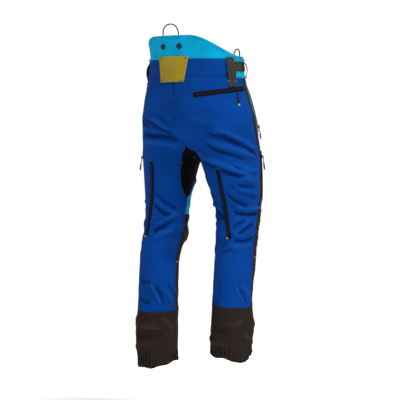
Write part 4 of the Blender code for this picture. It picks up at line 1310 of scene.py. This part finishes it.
def webbing(name, node_name, angle, width, line, made, slot):
    """A webbing belt loop with raised selvedges, pressed flat at its sewn ends."""
    track = smooth_route(line, WEBBING_ROWS)
    reach = math.degrees(width / 2.0 / WAIST_RADIUS)
    across = np.linspace(-1.0, 1.0, 13)
    selvedge = 0.0003 * np.abs(across) ** 6
    angles = angle + reach * across + 0.0 * track[:, :1]
    heights = track[:, :1] + 0.0 * across
    lifts = LOOP_PRESS * track[:, 1:] + WEBBING + selvedge
    points = waist(angles, heights, lifts)
    flat = unrolled(angles, heights, WAIST_RADIUS)
    wear = np.abs(across) ** 8 + 0.0 * heights
    faces = grid_faces(*angles.shape, flip=False)
    obj = cloth_object(name, points, flat, wear, faces, made, WEBBING * 0.85)
    settle(obj, node_name, slot=slot)


def belt_loops():
    for side, sign in SIDES.items():
        webbing(
            f"belt_loop_back_{side}_webbing", f"belt_loop_back_{side}", sign * LOOP_ANGLE, LOOP_WIDTH,
            LOOP_LINE, BROWN_WEBBING, "brown_webbing",
        )
        webbing(
            f"belt_loop_front_{side}_webbing", f"belt_loop_front_{side}", sign * FRONT_LOOP_ANGLE,
            FRONT_LOOP_WIDTH, FRONT_LOOP_LINE, OCHRE_WEBBING, "ochre_webbing",
        )


def strap(name, angles, heights, lift, thickness, made, slot, body, node_name=None, rounded=0.0):
    """A flat strap on the waistband with its two short edges given as angles."""
    across = np.linspace(0.0, 1.0, 30)
    shares = np.linspace(0.0, 1.0, 12)[:, None]
    wide = angles[0] + (angles[1] - angles[0]) * across + 0.0 * shares
    middle = sum(heights) / 2.0
    half = (heights[1] - heights[0]) / 2.0
    from_end = np.minimum(1.0, (1.0 - across) / 0.18) if rounded else 1.0 + 0.0 * across
    half = half * np.sqrt(np.clip(1.0 - rounded * (1.0 - from_end) ** 2, 0.05, 1.0))
    tall = middle + half * (1.0 - 2.0 * shares)
    if angles[1] < angles[0]:
        wide, tall = wide[:, ::-1], tall[:, ::-1]
    points = waist(wide, tall, lift + thickness)
    flat = np.stack([tall, np.radians(wide) * WAIST_RADIUS], axis=-1)
    wear = np.abs(2.0 * shares - 1.0) ** 8 + 0.0 * wide
    obj = cloth_object(name, points, flat, wear, grid_faces(*wide.shape, flip=False), made, thickness)
    settle(obj, *([node_name] if node_name else []), slot=slot, body=body)
    return obj, points


def side_adjusters():
    """The brown strap and its black hook pad on each side, on the strap's own body."""
    for side, sign in SIDES.items():
        node_name = f"side_adjuster_{side}"
        angles = (sign * ADJUSTER_ANGLES[0], sign * ADJUSTER_ANGLES[1])
        obj, points = strap(
            f"{node_name}_strap", angles, ADJUSTER_HEIGHTS, TRIM_LIFT, WEBBING, BROWN_WEBBING,
            "brown_webbing", node_name, node_name, rounded=0.6,
        )
        pad = (sign * HOOK_PAD_START, sign * (ADJUSTER_ANGLES[1] - 0.4))
        inset = (ADJUSTER_HEIGHTS[0] + 0.0015, ADJUSTER_HEIGHTS[1] - 0.0015)
        strap(
            f"{node_name}_hook_pad", pad, inset, TRIM_LIFT + WEBBING, 0.0010, BLACK_TAPE,
            "brown_webbing", node_name, rounded=0.6,
        )


def waist_tab():
    obj, points = strap(
        "waist_tab_cloth", TAB_ANGLES, TAB_HEIGHTS, TRIM_LIFT, WEBBING, BLUE_CLOTH, "blue_cloth",
        "waist_tab", "waist_tab", rounded=0.7,
    )


def cord_loop(name, angle, half_angle, rise):
    """A loop of cord above the waist edge, on the part's own route."""
    edge = float(yoke_top(angle))
    arch = [(share, rise * height) for share, height in CORD_ARCH]
    route = [(-1.0, -CORD_TUCK), *arch, (1.0, -CORD_TUCK)]
    points = [waist(angle + share * half_angle, edge + height, -CORD_SINK) for share, height in route]
    track = smooth_route(points, 37)
    curve = bpy.data.curves.new(f"{name}_cord", "CURVE")
    curve.dimensions = "3D"
    curve.bevel_depth = CORD_RADIUS
    curve.bevel_resolution = 4
    curve.use_fill_caps = True
    spline = curve.splines.new("POLY")
    spline.points.add(len(track) - 1)
    for point, place in zip(spline.points, track):
        point.co = (*place, 1.0)
    curve.materials.append(CORD_MATERIAL)
    obj = bpy.data.objects.new(f"{name}_cord", curve)
    bpy.context.scene.collection.objects.link(obj)
    settle(obj, name, slot="cord")


# ---------------------------------------------------------------- bar tacks and seams


def bar_tacks(name, places, made, slot):
    """Short dense bars of zigzag thread. Each place is a frame, a turn in degrees, a length and a width."""
    bars = []
    for placed, turn, length, width in places:
        turned = placed @ Matrix.Rotation(math.radians(turn), 4, "Z")
        count = max(4, int(length / TACK_PITCH))
        zigzag = []
        for index in range(2 * count + 1):
            place = -length / 2.0 + length * index / (2.0 * count)
            zigzag.append(turned @ Vector((place, width / 2.0 * (-1.0) ** index, 0.0)))
        bars.append(sweep_tube(np.array(zigzag), TACK_THREAD, sides=5))
    settle(mesh_object(name, *joined(bars), made), slot=slot)


def green_tacks():
    places = []
    for sign in SIDES.values():
        for height, lift in ((0.002, 0.0052), (-0.082, 0.0046)):
            for shift in (-0.5, 0.5):
                angle = sign * LOOP_ANGLE + shift * 9.5
                places.append((waist_frame(angle, height, lift), 0.0, 0.014, 0.0030))
        for height in (0.000, -0.062):
            places.append((waist_frame(sign * FRONT_LOOP_ANGLE, height, 0.0048), 0.0, 0.016, 0.0026))
    for angle, height in PATCH_TACKS:
        for sign in (-1.0, 1.0):
            placed = waist_frame(PATCH_CENTRE + sign * angle, height, TRIM_LIFT + WEBBING + 0.0010)
            places.append((placed, 0.0, 0.013, 0.0032))
    for angle, half_angle, _ in CORD_LOOPS.values():
        for end in (-half_angle, half_angle):
            height = float(yoke_top(angle)) - 0.008
            places.append((waist_frame(angle + end, height, 0.0006), 0.0, 0.008, 0.0026))
    for name in ("vent_left", "vent_right", "back_pocket"):
        track = zip_track(*ZIPS[name][:2])
        point, along, out = zip_place(track, -(WELT_END + 0.0006) / zip_length(track))
        placed = axes_matrix(point, along.cross(out), along, out)
        places.append((placed, 0.0, 2.2 * WELTS[name], 0.0028))
    places.append((leg_frame("left", -57.0, -0.368, 0.0010), 90.0, 0.010, 0.0030))
    places.append((leg_frame("right", -48.0, -0.378, 0.0010), 90.0, 0.010, 0.0030))
    bar_tacks("green_bar_tacks", places, GREEN_THREAD, "blue_cloth")


def side_tag():
    """The small ochre tag sewn beside the lower end of the right hand pocket's zip."""
    placed = leg_frame("right", 116.0, -0.262, 0.0042)
    bar_tacks("side_tag_right", [(placed, 90.0, 0.026, 0.008)], OCHRE_WEBBING, "ochre_webbing")


def pale_tacks():
    """The short reflective bars at the ends of the knee seams."""
    places = []
    for side in SIDES:
        for height in (KNEE_TOP + 0.002, KNEE_LOW):
            inner = float(gusset_edge(side, np.array([height]))[1][0])
            places.append((leg_frame(side, inner - 6.0, height, 0.0020), 0.0, 0.020, 0.0026))
            places.append((leg_frame(side, STRIP_FRONT + 4.0, height, 0.0010), 0.0, 0.012, 0.0022))
            outer = float(strip_back(np.array([height]))[0])
            places.append((leg_frame(side, outer + 8.0, height + 0.020, 0.0016), 0.0, 0.016, 0.0022))
    bar_tacks("knee_bar_tacks", places, GREY_THREAD, "dark_ripstop")


def on_leg(side, bearings, heights, lift=0.0):
    """A line on the folded cloth of a leg."""
    heights = swung(side, bearings, heights)
    return surface(side, bearings, heights, relief(side, bearings, heights) + lift)


def leg_lines(side):
    """Topstitch lines along the leg seams, on the blue cloth."""
    heights = np.linspace(BAND_BOTTOM - 0.006, CUFF_TOP[side] + 0.004, 170)
    outer = on_leg(side, strip_back(heights) - 3.4, heights, STITCH_LIFT)
    below = np.linspace(GUSSET_TOP - 0.012, CUFF_TOP[side] + 0.004, 120)
    inner = on_leg(side, gusset_edge(side, below)[0] + 3.6, below, STITCH_LIFT)
    inseam = float(gusset_edge(side, np.array([CUFF_TOP[side]]))[0][0])
    bearings = np.linspace(inseam + 3.0, STRIP_BACK - 3.0, 60)
    low = on_leg(side, bearings, np.full_like(bearings, CUFF_TOP[side] + 0.006), STITCH_LIFT)
    lines = [outer, inner, low]
    above = np.linspace(BAND_BOTTOM - 0.006, GUSSET_TOP + 0.006, 60)
    lines.append(on_leg(side, seams(side, above)[0] + 3.4, above, STITCH_LIFT))
    return lines


def seam_stitching():
    for side in SIDES:
        stitches(f"leg_topstitch_{side}", leg_lines(side), BLUE_THREAD, "blue_cloth")
    around = np.linspace(-YOKE_END + 1.0, YOKE_END - 1.0, 120)
    rows = (-0.0055, BAND_BOTTOM + 0.0055)
    lines = [waist(around, np.full_like(around, height), STITCH_LIFT) for height in rows]
    stitches("waistband_topstitch", lines, BLUE_THREAD, "blue_cloth")
    rows = [waist(around, yoke_top(around) - inset, STITCH_LIFT) for inset in (0.006, 0.010)]
    rows.append(waist(around, np.full_like(around, 0.006), STITCH_LIFT))
    stitches("yoke_topstitch", rows, TURQUOISE_CLOTH, "turquoise_cloth")
    calf = np.linspace(-0.642, CUFF_TOP["right"] + 0.003, 60)
    bearing = CALF_SEAM + 1.5 * np.sin((calf + 0.64) * 9.0)
    # A dark blue tube along the calf seam stands for the shade in its groove: painted shade.
    points, faces = sweep_tube(on_leg("right", bearing, calf, 0.0), 0.0010, sides=6)
    obj = mesh_object("calf_seam_shade_right", points, faces, SEAM_SHADE)
    settle(obj, slot="blue_cloth")
    seam = on_leg("right", bearing + 2.6, calf, STITCH_LIFT)
    stitches("calf_topstitch_right", [seam], BLUE_THREAD, "blue_cloth")


# ---------------------------------------------------------------- zips


def zip_rows(track, shares, offsets, lifts):
    """A grid of points along a zip line: offsets across it and lifts above it, in metres."""
    rows = []
    for share in shares:
        point, along, out = zip_place(track, share)
        across = along.cross(out)
        rows.append([point + across * offset + out * lift for offset, lift in zip(offsets, lifts)])
    return np.array(rows, float)


def zip_length(track):
    centre, _, sweep = track["arc"]
    return abs(sweep) * (track["start"] - centre).length


def zip_cloth(name, track):
    """Tape and, on a pocket, the two lips and rounded ends of its welt."""
    offsets = np.linspace(-0.5, 0.5, 13) * TAPE_WIDTH
    lifts = np.full_like(offsets, TAPE_THICKNESS) - 0.0002 * (np.abs(offsets) * 2.0 / TAPE_WIDTH) ** 6
    points = zip_rows(track, np.linspace(0.0, 1.0, 60), offsets, lifts)
    flat = np.stack([offsets + 0.0 * points[..., 0], spacing(points, 0)], axis=-1)
    wear = np.abs(offsets * 2.0 / TAPE_WIDTH) ** 8 + 0.0 * points[..., 0]
    faces = grid_faces(*points.shape[:2], flip=False)
    obj = cloth_object(f"{name}_tape", points, flat, wear, faces, BLACK_TAPE, TAPE_THICKNESS)
    settle(obj, f"{name}_zip", slot="zip_tape")
    length = zip_length(track)
    coil(name, track, length)
    if name in WELTS:
        zip_welt(name, track, length, WELTS[name])


def coil(name, track, length):
    """The interlocked coil along the middle of a zip: slanted wire turns, one by one."""
    turns = []
    count = int(length / COIL_PITCH)
    for index in range(count):
        share = (index + 0.5) / count
        point, along, out = zip_place(track, share)
        across = along.cross(out)
        lean = along * (COIL_PITCH * 0.25 * (-1.0) ** index)
        base = point + out * (TAPE_THICKNESS + COIL_LIFT)
        ends = [base - across * COIL_HALF - lean, base + across * COIL_HALF + lean]
        wire = np.array([ends[0], (ends[0] + ends[1]) / 2, ends[1]])
        turns.append(sweep_tube(wire, COIL_WIRE, 5))
    settle(mesh_object(f"{name}_coil", *joined(turns), COIL), slot="zip_tape")


def zip_welt(name, track, length, half_width):
    """Two folded lips beside the coil, closed past both ends: square at the start, round at the end."""
    extra = WELT_END / length
    shares = np.linspace(-extra, 1.0 + extra, 72)
    rounding = np.clip((1.0 + extra - shares) * length / (half_width * 0.9), 0.0, 1.0)
    rounding = np.sqrt(np.clip(1.0 - (1.0 - rounding) ** 2, 0.02, 1.0))
    closed = ease((np.abs(shares - 0.5) - 0.5) * length / 0.003 + 0.5)
    profile = np.linspace(-1.0, 1.0, 25)
    rows = []
    for share, round_share, shut in zip(shares, rounding, closed):
        point, along, out = zip_place(track, share)
        across = along.cross(out)
        lip = np.exp(-(((np.abs(profile) * half_width - WELT_LIP) / 0.0018) ** 2))
        lift = WELT_BASE + WELT_RISE * np.maximum(lip, shut * (1.0 - profile**4))
        lift = lift + WELT_BASE * np.abs(profile) ** 10
        offsets = profile * half_width * round_share
        rows.append([point + across * offset + out * height for offset, height in zip(offsets, lift)])
    points = np.array(rows, float)
    flat = np.stack([profile * half_width + 0.0 * points[..., 0], spacing(points, 0)], axis=-1)
    wear = np.exp(-(((np.abs(profile) * half_width - WELT_LIP) / 0.0012) ** 2)) + 0.0 * points[..., 0]
    faces = grid_faces(*points.shape[:2], flip=False)
    obj = cloth_object(f"{name}_welt", points, flat, 0.7 * wear, faces, BLACK_TAPE, WELT_THICKNESS)
    settle(obj, slot="zip_tape")


def rounded_bar(sections, sides=14):
    """A bar along -y from sections (y, half width, half thickness), as superellipse rings."""
    turn = np.linspace(0.0, 2.0 * math.pi, sides, endpoint=False)
    shape = np.stack([
        np.sign(np.cos(turn)) * np.abs(np.cos(turn)) ** 0.6,
        np.sign(np.sin(turn)) * np.abs(np.sin(turn)) ** 0.6,
    ], axis=-1)
    rings = [
        np.stack([shape[:, 0] * wide, np.full(sides, y), shape[:, 1] * thick], axis=-1)
        for y, wide, thick in sections
    ]
    faces = [list(face) for face in grid_faces(len(rings), sides, flip=True, wrap=True)]
    faces.append(list(range(sides))[::-1])
    faces.append([(len(rings) - 1) * sides + column for column in range(sides)])
    return np.vstack(rings), faces


def pull_pieces(length, grip_width):
    """(points, faces, material number) of a pull: ring, knotted cord, grip with ribs, soft tip."""
    half = grip_width / 2.0
    turn = np.linspace(0.0, 2.0 * math.pi, 20, endpoint=False)
    ring = np.stack([0.0026 * np.cos(turn), -0.0027 + 0.0034 * np.sin(turn), 0.0 * turn], axis=-1)
    pieces = [(*sweep_tube(ring, 0.0008, 6, closed=True), 0)]
    grip_top = -length * 0.47
    cord_top = -0.0058
    for side in (-1.0, 1.0):
        y = np.linspace(cord_top, grip_top - 0.001, 9)
        share = (y - cord_top) / (grip_top - cord_top)
        twist = side * PULL_CORD * np.array([np.cos(share * 9.0), np.sin(share * 9.0)])
        route = np.stack([twist[0], y, twist[1]], axis=-1)
        pieces.append((*sweep_tube(route, PULL_CORD, 6), 1))
    grip_end = -length + half * 1.5
    stations = np.linspace(0.0, 1.0, 19)
    ribs = 1.0 - 0.10 * (np.arange(19) % 2)
    swell = np.sqrt(np.clip(1.0 - (1.0 - np.clip(stations / 0.14, 0.0, 1.0)) ** 2, 0.12, 1.0))
    grip = [
        (grip_top + (grip_end - grip_top) * share, half * wide * (0.80 + 0.20 * share), 0.0027 * wide * rib)
        for share, wide, rib in zip(stations, swell, ribs)
    ]
    pieces.append((*rounded_bar(grip), 2))
    ends = np.linspace(0.0, 1.0, 7)
    rounds = np.sqrt(np.maximum(0.03, 1.0 - ends**3))
    tip = [
        (grip_end + (-length - grip_end) * share, half * wide, 0.0025 * wide)
        for share, wide in zip(ends, rounds)
    ]
    pieces.append((*rounded_bar(tip), 3))
    return pieces


def zip_pull(name, joint):
    """The pull of one zip, built at its crossbar and hanging plumb from it."""
    pivot = Vector(joint["pos_m"])
    across = Vector(joint["axis"]).normalized()
    leg = "left" if pivot.x > SEAM_X else "right"
    axis_point = Vector((*between(LEGS[leg], np.array(pivot.z))[:2], pivot.z))
    if across.cross(UP).dot(pivot - axis_point) < 0.0:
        across = -across
    up = Matrix.Rotation(math.radians(PULL_LEAN), 3, across) @ UP
    placed = axes_matrix(pivot, across, up, across.cross(up))
    parts = pull_pieces(*PULL_SIZES[name.split("_")[0]])
    points, faces = joined([part[:2] for part in parts])
    points = [placed @ Vector(point) for point in points]
    obj = mesh_object(f"{name}_pull_tab", points, faces, DARK_METAL, CORD_MATERIAL, RUBBER, GREEN_TIP)
    numbers = [number for _, part_faces, number in parts for _ in part_faces]
    obj.data.polygons.foreach_set("material_index", numbers)
    settle(obj, f"{name}_pull", slot="zip_pull", body=f"{name}_pull")


def zips():
    joints = {joint["name"]: joint for joint in frame["joints"]}
    for name, (side, places, _) in ZIPS.items():
        zip_cloth(name, zip_track(side, places))
        zip_pull(name, joints[f"{name}_pull_swing"])


# ---------------------------------------------------------------- carried-over nodes


def dress(node_name, made):
    """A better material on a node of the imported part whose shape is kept."""
    obj = frame["nodes"][node_name]
    obj.data.materials.clear()
    obj.data.materials.append(made)


def button_thread(name, placed):
    """Crossed sewing thread in the dish of a button."""
    threads = []
    for turn in (45.0, 135.0):
        turned = placed @ Matrix.Rotation(math.radians(turn), 4, "Z")
        for side in (-BUTTON_HOLE, BUTTON_HOLE):
            line = [turned @ Vector((x, side, BUTTON_DISH)) for x in (-THREAD_REACH, 0.0, THREAD_REACH)]
            threads.append(sweep_tube(np.array(line), 0.0004, 5))
    settle(mesh_object(name, *joined(threads), GREEN_THREAD), slot="button")


def carried_over():
    for name in ZIPS:
        dress(f"{name}_slider", DARK_METAL)
    dress("waist_snap", BRIGHT_METAL)
    for side, angle in BACK_BUTTONS.items():
        dress(f"brace_button_back_{side}", BLACK_PLASTIC)
        button_thread(f"button_thread_back_{side}", waist_frame(angle, BACK_BUTTON_Z, BUTTON_LIFT))
    for side, sign in SIDES.items():
        dress(f"brace_button_front_{side}", BLACK_PLASTIC)
        placed = waist_frame(sign * FRONT_BUTTON_ANGLE, FRONT_BUTTON_Z, BUTTON_LIFT)
        button_thread(f"button_thread_front_{side}", placed)


# ---------------------------------------------------------------- stage


def camera():
    data = bpy.data.cameras.new("camera")
    data.lens = CAMERA_LENS
    data.shift_x = CAMERA_SHIFT
    made = bpy.data.objects.new("camera", data)
    bpy.context.scene.collection.objects.link(made)
    made.location = CAMERA_PLACE
    made.rotation_euler = (math.pi / 2.0, 0.0, math.radians(CAMERA_TURN))
    bpy.context.scene.camera = made


def light(name, kind, place, aim):
    data = bpy.data.lights.new(name, kind)
    made = bpy.data.objects.new(name, data)
    bpy.context.scene.collection.objects.link(made)
    made.location = place
    made.rotation_euler = (Vector(aim) - Vector(place)).to_track_quat("-Z", "Y").to_euler()
    return data


def dome():
    """A white backdrop all round, seen by the camera only, so that it adds no light."""
    turn = np.linspace(0.0, 2.0 * math.pi, 48, endpoint=False)
    rings = [
        np.stack([np.cos(turn) * math.cos(lift), np.sin(turn) * math.cos(lift), turn * 0.0 + math.sin(lift)], -1)
        for lift in np.linspace(-0.5, 1.5, 13)
    ]
    made = bpy.data.materials.new("backdrop")
    made.use_nodes = True
    tree = made.node_tree
    tree.nodes.clear()
    glow = tree.nodes.new("ShaderNodeEmission")
    glow.inputs["Strength"].default_value = 1.0
    end = tree.nodes.new("ShaderNodeOutputMaterial")
    tree.links.new(glow.outputs["Emission"], end.inputs["Surface"])
    points = DOME_RADIUS * np.vstack(rings)
    obj = mesh_object("backdrop", points, grid_faces(len(rings), 48, flip=False, wrap=True), made)
    obj.visible_diffuse = False
    obj.visible_glossy = False
    obj.visible_transmission = False
    obj.visible_shadow = False


def stage():
    world = bpy.data.worlds.new("studio")
    bpy.context.scene.world = world
    world.use_nodes = True
    world.node_tree.nodes["Background"].inputs["Color"].default_value = (1.0, 1.0, 1.0, 1.0)
    world.node_tree.nodes["Background"].inputs["Strength"].default_value = WORLD_LIGHT
    turn = np.linspace(0.0, 2.0 * math.pi, 64, endpoint=False)
    low = CAD_BOX[0].z - FLOOR_DROP
    rim = np.stack([FLOOR_RADIUS * np.cos(turn), FLOOR_RADIUS * np.sin(turn), low + 0.0 * turn], axis=-1)
    made, _, shader = new_material("floor", 0.9)
    shader.inputs["Base Color"].default_value = (0.93, 0.93, 0.93, 1.0)
    floor = mesh_object("floor", rim, [list(range(64))], made)
    dome()
    sun = light("sun", "SUN", SUN_PLACE, (0.0, 0.0, 0.0))
    sun.energy = SUN_STRENGTH
    sun.angle = math.radians(SUN_SPREAD)
    front = light("front", "AREA", FRONT_LIGHT[0], (0.0, 0.0, -0.5))
    front.size = FRONT_LIGHT[1]
    front.energy = FRONT_LIGHT[2]
    bpy.context.scene.view_settings.view_transform = "Standard"


camera()
stage()
for name, (angle, half_angle, rise) in CORD_LOOPS.items():
    cord_loop(name, angle, half_angle, rise)
waist_cloths()
edge_binding()
back_patch()
belt_loops()
side_adjusters()
waist_tab()
for side in SIDES:
    leg_pieces(side)
    cuff_cloth(side)
    saw_pad(side)
gusset_cloth()
seam_stitching()
green_tacks()
pale_tacks()
side_tag()
zips()
carried_over()
